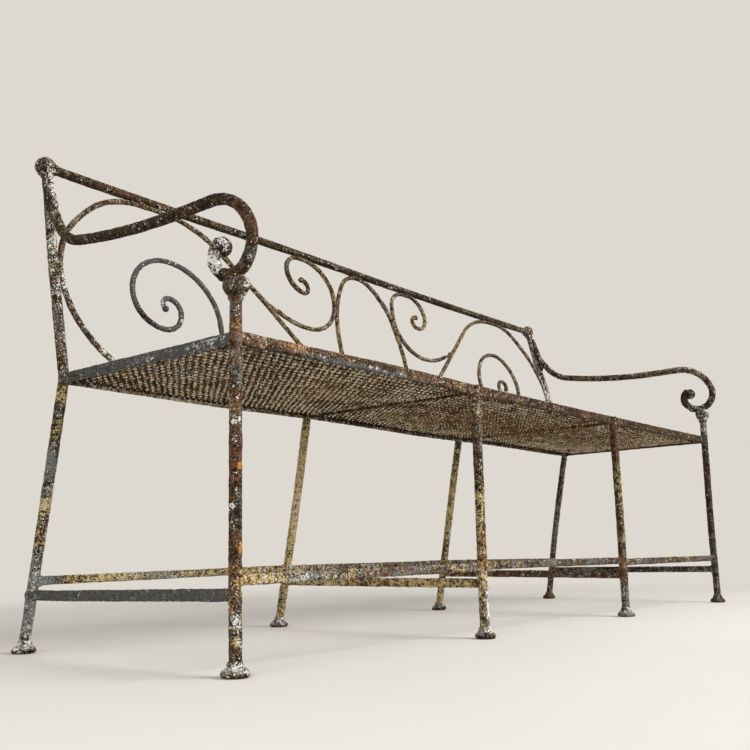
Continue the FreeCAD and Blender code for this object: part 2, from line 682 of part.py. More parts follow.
def make_welds():
    """Round welds behind the back, in the grooves where the scrolls touch the frame and each other."""
    slant = math.radians(spot["slant"])
    touch = scroll_radius + size["contact_gap"] / 2
    arch_way = (spot["arch_side"] - size["arch_half_width"] + spot["bowl"][0],
                spot["bowl"][1] - size["arch_spring"])
    arch_angle = math.atan2(arch_way[1], arch_way[0])
    bowl = size["scroll_bowl_radius"] + touch
    head_out = spot["bowl"][0] - size["scroll_bowl_radius"] + size["scroll_head_radius"]
    tail_angle = slant - size["weld_from_end"] / size["scroll_tail_radius"]
    tail = size["scroll_tail_radius"] + touch
    # Each weld: its place in the plane of the back, and the two pieces that it joins.
    places = [("arch_to_rail", None, (0, spot["high"] + touch), ("centre_arch", "top_rail"))]
    for side in SIDES:
        loop, scroll, post = f"back_loop_{side}", f"s_scroll_{side}", f"back_post_{side}"
        places += [
            ("loop_to_post", side, (spot["out"] + touch, spot["low"] + spot["loop_radius"]), (loop, post)),
            ("loop_to_rail", side, (spot["loop_out"] - size["loop_flat"] / 2, spot["high"] + touch),
             (loop, "top_rail")),
            ("scroll_to_rail", side, (head_out + size["scroll_flat"] / 2, spot["high"] + touch),
             (scroll, "top_rail")),
            ("scroll_to_arch", side, (spot["bowl"][0] - bowl * math.cos(arch_angle),
                                      spot["bowl"][1] - bowl * math.sin(arch_angle)),
             (scroll, "centre_arch")),
            ("scroll_to_loop", side, (spot["tail"][0] + tail * math.sin(tail_angle),
                                      spot["tail"][1] - tail * math.cos(tail_angle)), (scroll, loop)),
        ]
    behind = front_way * -size["weld_setback"]
    seam_back = FreeCAD.Rotation(Vector(0, 0, 1), 90)
    beads = []
    for name, side, place, pair in places:
        label = f"weld_{name}_{side}"
        bead = ball(label, back_plane(SIDES.get(side, 1))(*place) + behind, "Sizes.weld_diameter")
        bead.Placement.Rotation = seam_back
        beads.append(cut(label, bead, [nodes[piece] for piece in pair]))
    group = doc.addObject("Part::Compound", "scroll_welds_group")
    group.Links = beads
    finish("scroll_welds", group)


def finish_legs():
    """Legs and posts with the holes and slots that their neighbours need."""
    for leg in legs.values():
        finish(leg.name, cut(leg.name, leg.bar, leg.holes))


make_stretchers()
back_rail = make_seat_frame()
finish_legs()
make_feet()
make_arms()
make_top_rail()
make_back(back_rail)
make_mesh()
make_welds()
doc.recompute()


def check():
    """Stop if any object failed or any sub-part is not a sound solid."""
    for item in doc.Objects:
        if {"Invalid", "Error"} & set(item.State):
            raise RuntimeError(f"{item.Name} failed: {item.State}")
    for name, item in nodes.items():
        shape = item.Shape
        if shape.isNull() or not shape.isValid() or not shape.Solids:
            raise RuntimeError(f"{name} is not a sound solid")


check()
os.makedirs("parts", exist_ok=True)
for name, item in nodes.items():
    item.Shape.exportStep(f"parts/{name}.step")
    print(f"{name}: {len(item.Shape.Solids)} solids, {item.Shape.Volume / 1000:.1f} cm3")
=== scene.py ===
"""Looks of the wrought iron garden bench: hammered bars under worn paint, and a seat of woven wire.

Metres, +X along the bench, +Y to the back, +Z up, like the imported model.
"""
import bmesh
import bpy
import json
import math
import numpy as np
from mathutils import Matrix, Vector
from mathutils.kdtree import KDTree


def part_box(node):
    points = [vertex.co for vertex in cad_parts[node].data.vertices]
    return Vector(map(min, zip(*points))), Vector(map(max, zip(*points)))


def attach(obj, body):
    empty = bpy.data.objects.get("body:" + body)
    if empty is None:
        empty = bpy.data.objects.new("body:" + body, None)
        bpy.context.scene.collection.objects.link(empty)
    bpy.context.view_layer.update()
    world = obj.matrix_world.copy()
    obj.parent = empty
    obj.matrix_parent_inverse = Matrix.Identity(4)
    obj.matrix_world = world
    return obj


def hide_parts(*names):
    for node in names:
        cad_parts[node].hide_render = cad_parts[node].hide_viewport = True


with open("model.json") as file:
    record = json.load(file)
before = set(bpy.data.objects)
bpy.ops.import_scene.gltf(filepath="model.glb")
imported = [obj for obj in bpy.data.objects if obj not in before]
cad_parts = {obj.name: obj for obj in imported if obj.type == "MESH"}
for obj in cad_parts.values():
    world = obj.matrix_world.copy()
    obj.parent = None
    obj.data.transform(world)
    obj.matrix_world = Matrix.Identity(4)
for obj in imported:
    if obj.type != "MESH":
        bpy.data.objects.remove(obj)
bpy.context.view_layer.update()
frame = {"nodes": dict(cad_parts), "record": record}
NODES = sorted(frame["nodes"])
SLOTS = {row["node"]: row["material_slot"] for row in frame["record"]["subparts"]}

# The photo's viewpoint, solved from the bench's straight bars.
CAMERA_PLACE = Vector((-1.60472, -1.13192, 0.15118))
CAMERA_YAW, CAMERA_PITCH, CAMERA_ROLL = 49.90, 11.23, -1.04
PHOTO_WIDTH, FOCAL_PIXELS = 750, 885.29
FOCAL_SHARE = FOCAL_PIXELS / PHOTO_WIDTH
SENSOR_WIDTH = 36.0
CLIP_START = 0.01
TINY = 1e-6


def middle(node):
    """The middle of a node's box."""
    low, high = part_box(node)
    return (low + high) / 2


# Where the legs stand and where bars meet them, from the bench as built.
END_X, INNER_X = middle("seat_rail_right").x, middle("front_leg_right").x
FRONT_Y, BACK_Y = middle("seat_rail_front").y, middle("seat_rail_back").y
SEAT_Z = middle("seat_rail_front").z
LONG_Z, CROSS_Z = middle("front_stretcher_middle").z, middle("cross_stretcher_end_left").z
FINIAL_Y, FINIAL_Z = middle("top_rail").y, middle("top_rail").z
FRONT_BALL_Z = middle("front_ball_left").z
BAR_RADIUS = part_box("front_leg_right")[1].x - INNER_X
LEG_SPLAY = (middle("back_leg_right_foot").y - BACK_Y) / SEAT_Z
POST_LEAN = (FINIAL_Y - BACK_Y) / (FINIAL_Z - SEAT_Z)

# The curl at the front of an arm, in the arm's own plane; its turns are in radians from straight below.
CURL_MIDDLE, CURL_RADIUS = np.array((FRONT_Y + 0.023, FRONT_BALL_Z + 0.0491)), 0.027
CURL_REACH = 1.2 * BAR_RADIUS
CURL_THINS, CURL_LOSS = np.radians((112, 158)), 0.5
CURL_SPREAD = 0.5 * BAR_RADIUS
CURL_SWELL, CURL_SWELL_TURN = 0.0010, 1.2
CURL_PULL, CURL_PULL_TURNS = 0.0028, np.radians((-65, -5, 95, 140))
EYE, EYE_RADIUS = (FRONT_Y + 0.030, FRONT_BALL_Z + 0.0615), 0.0138

# How the forged iron departs from the plain bars.
ROUND_VOXEL, SCROLL_VOXEL, FLAT_VOXEL, SMALL_VOXEL = 0.0018, 0.0014, 0.0017, 0.0012
EASE_FACTOR, EASE_ROUNDS = 0.5, 2
# Bars wander off their lines, fully so from the rise height up.
BEND_REACH, BEND_DEPTH, RISE_HEIGHT = 0.33, 0.0022, 0.15
# The back's sag as a cubic along the bench, lowest right of the middle.
TOP_SAG = (-0.0049, -0.0055, 0.0064, 0.008)
# Legs that lean, less and less towards the seat: where they stand and how far off they are at the floor.
LEANS = (((-END_X, FRONT_Y), (0.003, -0.0037)), ((-END_X, BACK_Y + 0.07), (0.0017, -0.002)),
         ((-INNER_X, FRONT_Y), (0.0016, -0.0022)))
LEAN_REACH = 0.15
# Places where bars are bent out of true: middle, reach and shift.
BENDS = (
    # Left post's top, left loop, left S scroll and the tails between them.
    ((-END_X, 0.277, 0.840), 0.130, (0.0025, -0.0025, -0.0005)),
    ((-0.789, 0.260, 0.773), 0.055, (0.0022, -0.0022, -0.0028)),
    ((-0.235, 0.256, 0.757), 0.050, (0.0025, -0.0030, 0.0012)),
    ((-0.351, 0.239, 0.691), 0.070, (0.0018, -0.0021, 0.0005)),
    # Right S scroll, right loop, right post's top and the root of the right arm.
    ((0.100, 0.257, 0.765), (0.035, 0.05, 0.05), (0.0060, -0.0020, 0.0)),
    ((0.750, 0.257, 0.760), 0.060, (-0.0040, 0.0046, -0.001)),
    ((0.839, 0.277, 0.841), 0.160, (-0.0035, 0.0042, 0.0)),
    ((END_X, 0.235, 0.720), 0.060, (-0.0022, 0.0026, -0.001)),
    # Arms and the right front post.
    ((END_X, -0.100, 0.630), (0.05, 0.22, 0.05), (0.0, 0.0, -0.0015)),
    ((END_X, FRONT_Y, 0.450), (0.08, 0.08, 0.25), (0.0018, -0.0021, 0.0)),
    ((-END_X, -0.285, 0.560), 0.035, (0.0, 0.0034, 0.0)),
    ((-END_X, 0.120, 0.660), (0.05, 0.12, 0.06), (0.0, 0.0, -0.0008)),
    # Back legs.
    ((-INNER_X, 0.200, 0.270), (0.08, 0.12, 0.22), (0.0014, -0.0016, 0.0)),
    ((INNER_X, 0.200, 0.270), (0.08, 0.12, 0.22), (-0.0028, 0.0034, 0.0)),
    ((END_X, 0.210, 0.200), (0.08, 0.12, 0.20), (-0.0013, 0.0016, 0.0)),
)
# End spirals lean to the left, from a little above the seat.
SPIRAL_SHIFT, SPIRAL_ROOT, SPIRAL_RISE = 0.0115, 0.01, 0.06
WELD_SINK = 0.0018
# Stretchers that don't lie level: the axis they run along, where they start and end,
# and how far off level they are there.
SLOPES = {
    "cross_stretcher_end_left": (1, (FRONT_Y, BACK_Y), (0.0068, -0.0012)),
    "cross_stretcher_inner_right": (1, (FRONT_Y, BACK_Y), (-0.002, -0.0005)),
    "cross_stretcher_end_right": (1, (FRONT_Y, BACK_Y), (-0.004, -0.008)),
    "front_stretcher_left": (0, (-END_X, -INNER_X), (0, 0.0025)),
    "front_stretcher_middle": (0, (-INNER_X, INNER_X), (0.005, 0.0035)),
    "back_stretcher_left": (0, (-END_X, -INNER_X), (-0.0045, 0.001)),
    "back_stretcher_right": (0, (INNER_X, END_X), (0, -0.006)),
}
TAIL_LENGTH, TAIL_EASE = 0.055, 0.7
# Hammer marks, edges of scale, pits and the thickness of paint.
HAMMER_REACH, HAMMER_DEPTH = 0.026, 0.0006
SCALE_REACH, SCALE_DEPTH, SCALE_EDGE = 0.0065, 0.0004, 5
PIT_REACH, PIT_DEPTH, PIT_START = 0.0032, 0.0004, 0.62
PAINT_DEPTH = 0.0008
# Feet are rougher than bars, and flat below the sole height.
FOOT_ROUGH, SOLE_HEIGHT = 1.3, 0.004

# A foot's outline, radius and height, from the middle of its sole up to where it runs out on the leg.
FOOT_OUTLINE = ((0.0001, 0.0), (0.0146, 0.0), (0.0168, 0.0012), (0.0178, 0.0037), (0.0174, 0.0064),
                (0.0154, 0.0086), (0.0129, 0.0104), (0.0113, 0.0124), (0.0103, 0.0154), (0.0096, 0.0190),
                (0.0001, 0.0205))
FOOT_SIDES = 40

# Half widths of the lumps of weld at each kind of joint.
WELD_SEED, WELD_SPREAD = 5, (0.88, 1.15)
LONG_WELD, CROSS_WELD = (0.0085, 0.0058, 0.0088), (0.0055, 0.0075, 0.0092)
OUTER_WELD = (0.0045, 0.010, 0.0078)
RAIL_WELD, SIDE_RAIL_WELD = (0.008, 0.0062, 0.0105), (0.0058, 0.008, 0.0098)
BALL_WELD, FINIAL_WELD = (0.0108, 0.0108, 0.0055), (0.0104, 0.0104, 0.0055)
TOP_RAIL_WELD = (0.0055, 0.0104, 0.0104)
ARM_WELD, ARM_FRONT_WELD = (0.0088, 0.012, 0.0058), (0.007, 0.006, 0.006)
ARM_ROOT_WELD = (0.0055, 0.007, 0.018)
# How far the welds lie from the middles of the bars and balls they join.
OUTER_WELD_STEP = (-0.0055, -0.003)
BALL_WELD_DROP, FINIAL_WELD_STEP, TOP_RAIL_WELD_REACH = 0.0175, (-0.0042, -0.0172), 2.1
ARM_WELD_STEP, ARM_FRONT_WELD_STEP = (0.003, 0.0165), (-0.008, 0.0185)
# Where an arm leaves its post: a weld below, and a root that tapers upwards along the post.
ARM_ROOT_Z, ARM_ROOT_GAP = 0.722, 0.012
ROOT_STEPS, ROOT_START, ROOT_STEP = 10, 0.758, 0.0055
ROOT_RADIUS, ROOT_TAPER, ROOT_GAP, ROOT_CLOSING = 0.0078, 0.00035, 0.0135, 0.0004

# Woven wire of the seat: thick and nearly straight one way, thin and crimped the other way.
# The crown is the extra white on a wire's lowest points; the last share darkens its highest points towards
# dark iron, a painted shade where the wire rises behind the other wires.
WIRE_ANGLE = math.radians(53)
RISING = {"kind": "wire_rising", "way": 1, "pitch": 0.0102, "radius": 0.0022, "crimp": 0.0008,
          "crown": 0.25, "top_shade": 0.7}
FALLING = {"kind": "wire_falling", "way": -1, "pitch": 0.0102, "radius": 0.0014, "crimp": 0.0032,
           "crown": 1.4, "top_shade": 0.9}
# The net hangs, waves and drifts a little, less and less towards its rods.
WIRE_SAG, WIRE_WAVE, WIRE_DRIFT, DRIFT_REACH = 0.002, 0.0014, 0.0028, 0.045
SLACK_GAIN = 4
# Each wave's share, reach and seed.
WAVES = ((1.2, 0.06, 8), (0.8, 0.15, 9))
WIRE_STEPS, LEAST_STEPS, WIRE_SIDES = 4, 3, 6
ROD_RADIUS, ROD_INSET, ROD_STEPS = 0.0016, 0.0054, 24
SHORTEST_WIRE = 4 * ROD_INSET
WRAP_TURNS = np.radians(np.linspace(-90, 215, 9))

LATTICE, LATTICES, SEED_STEP = 32, 12, 7.31


def lattice(seed):
    """A block of random numbers for the noise below, the same for the same seed."""
    return np.random.RandomState(seed).rand(LATTICE, LATTICE, LATTICE)


TABLES = [lattice(seed) for seed in range(LATTICES)]


def noise(points, reach, seed):
    """Smooth noise from 0 to 1, its features about as wide as the reach."""
    table = TABLES[seed]
    scaled = points / reach + seed * SEED_STEP
    cell = np.floor(scaled).astype(int)
    part = scaled - cell
    part = part * part * (3 - 2 * part)
    total = np.zeros(len(points))
    for corner in np.ndindex(2, 2, 2):
        weight = np.prod(np.where(corner, part, 1 - part), axis=1)
        index = (cell + corner) % LATTICE
        total += weight * table[index[:, 0], index[:, 1], index[:, 2]]
    return total


def rough_noise(points, reach, seed):
    """Noise with two finer layers on it."""
    return (noise(points, reach, seed) * 4 + noise(points, reach / 2, seed + 1) * 2
            + noise(points, reach / 4, seed + 2)) / 7


def bent(points):
    """Points moved as in hand-bent bars: a slow wander, the sag of the back, leaning legs and local bends.

    Points on the floor stay on the floor.
    """
    rise = np.clip(points[:, 2] / RISE_HEIGHT, 0, 1)
    wander = np.stack([noise(points, BEND_REACH, seed) - 0.5 for seed in (0, 1, 2)], axis=1)
    moved = points + 2 * BEND_DEPTH * wander * rise[:, None]
    height = np.clip((points[:, 2] - SEAT_Z) / (FINIAL_Z - SEAT_Z), 0, 1)
    moved[:, 2] -= height * np.polyval(TOP_SAG, np.clip(points[:, 0] / END_X, -1, 1))
    drop = np.clip(1 - points[:, 2] / SEAT_Z, 0, 1)
    for place, shift in LEANS:
        near = np.exp(-(((points[:, :2] - place) / LEAN_REACH) ** 2).sum(axis=1))
        moved[:, :2] += (near * drop)[:, None] * shift
    for place, reach, shift in BENDS:
        near = np.exp(-(((points - place) / reach) ** 2).sum(axis=1))
        moved += near[:, None] * shift
    return moved


def post_y(level):
    """The end back posts' axis at a height above the seat."""
    return BACK_Y + (level - SEAT_Z) * POST_LEAN


def leg_y(level):
    """The back legs' axis at a height below the seat."""
    return BACK_Y + (SEAT_Z - level) * LEG_SPLAY


def weld_lumps():
    """Lumps of weld by node, each with its middle and its three half widths."""
    chance = np.random.RandomState(WELD_SEED)
    lumps = {node: [] for node in NODES}

    def add(node, place, radii):
        lumps[node].append((place, [radius * chance.uniform(*WELD_SPREAD) for radius in radii]))

    columns = (-END_X, -INNER_X, INNER_X, END_X)
    for row, y in (("front", FRONT_Y), ("back", leg_y(LONG_Z))):
        for bay, first, last in zip(("left", "middle", "right"), columns, columns[1:]):
            for x in (first + BAR_RADIUS, last - BAR_RADIUS):
                add(f"{row}_stretcher_{bay}", (x, y, LONG_Z), LONG_WELD)
    for name, x in zip(("end_left", "inner_left", "inner_right", "end_right"), columns):
        for y in (FRONT_Y + BAR_RADIUS, leg_y(CROSS_Z) - BAR_RADIUS):
            add(f"cross_stretcher_{name}", (x, y, CROSS_Z), CROSS_WELD)
    outer = (-END_X + OUTER_WELD_STEP[0], leg_y(CROSS_Z) + OUTER_WELD_STEP[1], CROSS_Z)
    add("cross_stretcher_end_left", outer, OUTER_WELD)
    for side, x in (("left", -END_X), ("right", END_X)):
        inward = -BAR_RADIUS if x > 0 else BAR_RADIUS
        for row, y in (("front", FRONT_Y), ("back", BACK_Y)):
            add(f"seat_rail_{row}", (x + inward, y, SEAT_Z), RAIL_WELD)
            add(f"seat_rail_{side}", (x, y + math.copysign(BAR_RADIUS, -y), SEAT_Z), SIDE_RAIL_WELD)
        add(f"front_post_{side}", (x, FRONT_Y, FRONT_BALL_Z - BALL_WELD_DROP), BALL_WELD)
        under = (x, FINIAL_Y + FINIAL_WELD_STEP[0], FINIAL_Z + FINIAL_WELD_STEP[1])
        add(f"back_post_{side}", under, FINIAL_WELD)
        add("top_rail", (x + TOP_RAIL_WELD_REACH * inward, FINIAL_Y, FINIAL_Z), TOP_RAIL_WELD)
        arm = f"arm_{side}"
        for (step_y, step_z), radii in ((ARM_WELD_STEP, ARM_WELD), (ARM_FRONT_WELD_STEP, ARM_FRONT_WELD)):
            add(arm, (x, FRONT_Y + step_y, FRONT_BALL_Z + step_z), radii)
        lumps[arm].append(((x, *EYE), [EYE_RADIUS] * 3))
        for step in range(ROOT_STEPS):
            level = ROOT_START + ROOT_STEP * step
            radius = ROOT_RADIUS - ROOT_TAPER * step
            y = post_y(level) - ROOT_GAP + ROOT_CLOSING * step
            lumps[arm].append(((x, y, level), [radius] * 3))
        add(arm, (x, post_y(ARM_ROOT_Z) - ARM_ROOT_GAP, ARM_ROOT_Z), ARM_ROOT_WELD)
    return lumps


def add_lump(form, place, radii):
    """An egg-shaped lump in a mesh under construction."""
    bmesh.ops.create_icosphere(form, subdivisions=3, radius=1,
                               matrix=Matrix.Translation(place) @ Matrix.Diagonal((*radii, 1)))


def curled(points, middle_x):
    """The arm's curl, drawn out thin towards its eye."""
    spoke = points[:, 1:] - CURL_MIDDLE
    reach = np.linalg.norm(spoke, axis=1)
    turn = np.arctan2(spoke[:, 0], -spoke[:, 1])
    part = np.clip((turn - CURL_THINS[0]) / (CURL_THINS[1] - CURL_THINS[0]), 0, 1)
    in_curl = np.abs(reach - CURL_RADIUS) < CURL_REACH
    thin = 1 - CURL_LOSS * part * in_curl
    swell = np.clip(1 - np.abs(turn - CURL_SWELL_TURN), 0, 1) * in_curl
    pull = np.interp(turn, CURL_PULL_TURNS, (0, 1, 1, 0)) * in_curl
    thinned = CURL_RADIUS + (reach - CURL_RADIUS) * thin + CURL_SPREAD * (1 - thin)
    thinned += CURL_SWELL * swell * np.sign(reach - CURL_RADIUS) - CURL_PULL * pull
    moved = points.copy()
    moved[:, 0] = middle_x + (points[:, 0] - middle_x) * thin
    moved[:, 1:] = CURL_MIDDLE + spoke * (thinned / np.maximum(reach, TINY))[:, None]
    return moved


def mesh_points(mesh):
    """A mesh's corners as an array."""
    flat = np.empty(len(mesh.vertices) * 3, np.float32)
    mesh.vertices.foreach_get("co", flat)
    return flat.reshape(-1, 3).astype(float)


def set_points(mesh, points):
    """Puts a mesh's corners where the array says."""
    mesh.vertices.foreach_set("co", points.astype(np.float32).ravel())
    mesh.update()


def mesh_normals(mesh):
    """The way each corner of a mesh faces."""
    flat = np.empty(len(mesh.vertices) * 3, np.float32)
    mesh.vertex_normals.foreach_get("vector", flat)
    return flat.reshape(-1, 3).astype(float)


def link(name, mesh):
    """A new object in the scene."""
    piece = bpy.data.objects.new(name, mesh)
    bpy.context.scene.collection.objects.link(piece)
    return piece


def remeshed(mesh, voxel):
    """One even skin over everything in a mesh."""
    rough = link("rough", mesh)
    skin = rough.modifiers.new("skin", "REMESH")
    skin.mode = "VOXEL"
    skin.voxel_size = voxel
    ease = rough.modifiers.new("ease", "SMOOTH")
    ease.factor = EASE_FACTOR
    ease.iterations = EASE_ROUNDS
    made = bpy.data.meshes.new_from_object(rough.evaluated_get(bpy.context.evaluated_depsgraph_get()))
    bpy.data.objects.remove(rough)
    bpy.data.meshes.remove(mesh)
    return made


def bar_mesh(node, lumps):
    """A copy of a bar as built, with its lumps of weld."""
    mesh = frame["nodes"][node].data.copy()
    if node.startswith("arm_"):
        set_points(mesh, curled(mesh_points(mesh), math.copysign(END_X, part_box(node)[0].x)))
    form = bmesh.new()
    form.from_mesh(mesh)
    bmesh.ops.remove_doubles(form, verts=form.verts, dist=TINY)
    for lump in lumps:
        add_lump(form, *lump)
    form.to_mesh(mesh)
    form.free()
    return mesh


def foot_mesh(node):
    """A foot as a soft flare that runs up its leg."""
    low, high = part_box(node)
    x, y = (low.x + high.x) / 2, (low.y + high.y) / 2
    lean = LEG_SPLAY if node.startswith("back") else 0.0
    turns = np.linspace(0, 2 * np.pi, FOOT_SIDES, endpoint=False)
    rings = []
    for radius, level in FOOT_OUTLINE:
        across, along = radius * np.cos(turns), radius * np.sin(turns)
        rings.append(np.stack([x + across, y - lean * level + along, np.full(FOOT_SIDES, level)], axis=1))
    return ring_mesh([np.stack(rings)])


def forged(node, mesh, rough):
    """A hammered, pitted and paint-crusted skin in a bar's place."""
    skin = remeshed(mesh, voxel_of(node))
    points, normals = mesh_points(skin), mesh_normals(skin)
    hammer = rough_noise(points, HAMMER_REACH, 3) - 0.5
    scale = noise(points, SCALE_REACH, 6)
    crust = np.clip((scale - 0.5) * SCALE_EDGE + 0.5, 0, 1) - 0.5
    pits = np.clip(noise(points, PIT_REACH, 7) - PIT_START, 0, 1) / (1 - PIT_START)
    lift = 2 * HAMMER_DEPTH * hammer + SCALE_DEPTH * crust - PIT_DEPTH * pits + PAINT_DEPTH
    if node == "scroll_welds":
        lift -= WELD_SINK
    stand = np.clip(points[:, 2] / SOLE_HEIGHT, 0, 1)
    points = points + normals * (lift * rough * stand)[:, None]
    if node in SLOPES:
        axis, ends, shifts = SLOPES[node]
        points[:, 2] += np.interp(points[:, axis], ends, shifts)
    if node.startswith("end_spiral"):
        height = points[:, 2] - SEAT_Z - SPIRAL_ROOT
        points[:, 0] -= SPIRAL_SHIFT * np.clip(height / SPIRAL_RISE, 0, 1)
    set_points(skin, bent(points))
    skin.shade_smooth()
    piece = link(f"{node}_forged", skin)
    settle(piece, node)
    return piece


def draw_out(piece, onto):
    """The outer end of an S scroll, drawn out thin onto the loop it is welded to."""
    points, aims = mesh_points(piece.data), mesh_points(onto.data)
    tree = KDTree(len(aims))
    for number, aim in enumerate(aims):
        tree.insert(aim, number)
    tree.balance()
    end = points[np.abs(points[:, 0]).argmax()]
    far = np.linalg.norm(points - end, axis=1)
    for number in np.nonzero(far < TAIL_LENGTH)[0]:
        share = (1 - far[number] / TAIL_LENGTH) ** TAIL_EASE
        points[number] += share * (np.array(tree.find(points[number])[0]) - points[number])
    set_points(piece.data, points)


def settle(piece, node):
    """A new piece that stands for a node: it rides with the bench and takes the node's slot."""
    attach(piece, "root")
    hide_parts(node)
    piece.data.materials.clear()
    piece.data.materials.append(PAINTS[SLOTS[node]])


def colour(red, green, blue):
    """A screen colour, 0 to 255, as linear light with full cover."""
    parts = [part / 255 for part in (red, green, blue)]
    return (*[part / 12.92 if part <= 0.04045 else ((part + 0.055) / 1.055) ** 2.4 for part in parts], 1)


# Roughness and spread of the noise in paint, and the step between one noise and the next.
NOISE_ROUGHNESS, NOISE_LOW, NOISE_HIGH, NOISE_STEP = 0.6, 0.3, 0.7, 3.7
# How much wide and small noise count where a coat wears off.
WIDE_SHARE, SMALL_SHARE, WEAR_DETAIL = 0.45, 0.55, 4
# Sockets of a colour mix.
MIX_SHARE, MIX_FIRST, MIX_SECOND, MIX_RESULT = 0, 6, 7, 2


class Tree:
    """A short way to write shader nodes."""

    def __init__(self, name):
        self.material = bpy.data.materials.new(name)
        self.material.use_nodes = True
        self.nodes = self.material.node_tree.nodes
        self.links = self.material.node_tree.links
        self.nodes.clear()
        self.place = self.add("ShaderNodeTexCoord").outputs["Object"]

    def add(self, kind, **settings):
        node = self.nodes.new(kind)
        for key, value in settings.items():
            setattr(node, key, value)
        return node

    def put(self, socket, value):
        if isinstance(value, bpy.types.NodeSocket):
            self.links.new(value, socket)
        else:
            socket.default_value = value

    def math(self, operation, *values):
        node = self.add("ShaderNodeMath", operation=operation)
        for socket, value in zip(node.inputs, values):
            self.put(socket, value)
        return node.outputs[0]

    def noise(self, scale, detail, number):
        """Noise spread out to fill 0 to 1."""
        node = self.add("ShaderNodeTexNoise", noise_dimensions="4D")
        self.put(node.inputs["Vector"], self.place)
        self.put(node.inputs["W"], NOISE_STEP * number)
        self.put(node.inputs["Scale"], scale)
        self.put(node.inputs["Detail"], detail)
        self.put(node.inputs["Roughness"], NOISE_ROUGHNESS)
        return self.ramp(node.outputs["Fac"], NOISE_LOW, NOISE_HIGH)

    def ramp(self, value, low, high):
        node = self.add("ShaderNodeMapRange", interpolation_type="SMOOTHSTEP")
        self.put(node.inputs["Value"], value)
        self.put(node.inputs["From Min"], low)
        self.put(node.inputs["From Max"], high)
        return node.outputs["Result"]

    def mix(self, share, first, second):
        node = self.add("ShaderNodeMix", data_type="RGBA")
        self.put(node.inputs[MIX_SHARE], share)
        self.put(node.inputs[MIX_FIRST], first)
        self.put(node.inputs[MIX_SECOND], second)
        return node.outputs[MIX_RESULT]

    def amount(self, name):
        """How much of a layer is left here, from the mesh."""
        return self.add("ShaderNodeAttribute", attribute_name=name).outputs["Fac"]

    def worn(self, name, coarse, fine, number, edge):
        """Where a layer of paint is left, from its amount on the mesh and two sizes of noise."""
        wide = self.math("MULTIPLY", self.noise(coarse, WEAR_DETAIL, number), WIDE_SHARE)
        small = self.math("MULTIPLY", self.noise(fine, WEAR_DETAIL, number + 1), SMALL_SHARE)
        pattern = self.math("ADD", wide, small)
        over = self.math("SUBTRACT", self.math("ADD", pattern, self.amount(name)), 1.0)
        return self.ramp(over, -edge, edge)

    def surface(self, shader):
        self.links.new(shader, self.add("ShaderNodeOutputMaterial").inputs["Surface"])
        return self.material


# Bare iron: scale and detail of its brown clouds, its dark specks and its grain.
CLOUDS, CLOUD_LOW, CLOUD_HIGH = (70, 5), 0.25, 0.85
SPECKS, SPECK_SHARE = (430, 4), 0.8
GRAIN, GRAIN_DEPTH = (600, 3), 0.6
# Dirt on each coat, flecks of white over all coats and pits through them.
DIRT, DIRT_SHARE, DIRT_TONE = (330, 4), 0.75, 0.5
FLECKS, FLECK_GROUPS, FLECK_WHITE = (430, 2), (110, 3), 0.25
FLECK_LOW, FLECK_HIGH, FLECK_TONE = 0.73, 0.81, 0.95
PITS, PIT_GREY, PIT_LOW, PIT_HIGH, PIT_TONE = (300, 3), 0.14, 0.66, 0.78, 0.8
# Relief and gloss of the skin.
BUMP_STRENGTH, BUMP_DISTANCE = 0.7, 0.0006
IRON_ROUGHNESS, PAINT_GLOSS, SPECULAR = 0.72, 0.25, 0.11


def toned(shade, share):
    """A screen colour made darker, as linear light."""
    return colour(*[part * share for part in shade])


def worn_paint(name, iron, brown, shades):
    """Old iron with the left-overs of rust, grey, ochre and white coats over it."""
    tree = Tree(name)
    clouds = tree.ramp(tree.noise(*CLOUDS, 1), CLOUD_LOW, CLOUD_HIGH)
    tone = tree.mix(clouds, colour(*iron), colour(*brown))
    tone = tree.mix(tree.math("MULTIPLY", tree.noise(*SPECKS, 2), SPECK_SHARE), tone, colour(*iron))
    height = tree.math("MULTIPLY", tree.noise(*GRAIN, 3), GRAIN_DEPTH)
    paint = 0.0
    for number, (layer, coarse, fine, edge, depth) in enumerate(COATS):
        left = tree.worn(layer, coarse, fine, 10 * number + 10, edge)
        dirt = tree.math("MULTIPLY", tree.noise(*DIRT, 10 * number + 15), DIRT_SHARE)
        shade = shades[number]
        tone = tree.mix(left, tone, tree.mix(dirt, colour(*shade), toned(shade, DIRT_TONE)))
        height = tree.math("ADD", height, tree.math("MULTIPLY", left, depth))
        paint = tree.math("MAXIMUM", paint, tree.math("MULTIPLY", left, min(depth * 2, 1)))
    flecks = tree.math("MULTIPLY", tree.noise(*FLECKS, 80), tree.noise(*FLECK_GROUPS, 82))
    flecks = tree.math("ADD", flecks, tree.math("MULTIPLY", tree.amount("white"), FLECK_WHITE))
    tone = tree.mix(tree.ramp(flecks, FLECK_LOW, FLECK_HIGH), tone, toned(shades[-1], FLECK_TONE))
    filled = tree.math("MULTIPLY", tree.amount("grey"), PIT_GREY)
    pits = tree.math("SUBTRACT", tree.noise(*PITS, 90), filled)
    tone = tree.mix(tree.ramp(pits, PIT_LOW, PIT_HIGH), tone, toned(iron, PIT_TONE))
    bump = tree.add("ShaderNodeBump")
    tree.put(bump.inputs["Strength"], BUMP_STRENGTH)
    tree.put(bump.inputs["Distance"], BUMP_DISTANCE)
    tree.put(bump.inputs["Height"], height)
    skin = tree.add("ShaderNodeBsdfPrincipled")
    tree.put(skin.inputs["Base Color"], tone)
    gloss = tree.math("MULTIPLY", paint, PAINT_GLOSS)
    tree.put(skin.inputs["Roughness"], tree.math("SUBTRACT", IRON_ROUGHNESS, gloss))
    tree.put(skin.inputs["Specular IOR Level"], SPECULAR)
    tree.put(skin.inputs["Normal"], bump.outputs["Normal"])
    return tree.surface(skin.outputs["BSDF"])


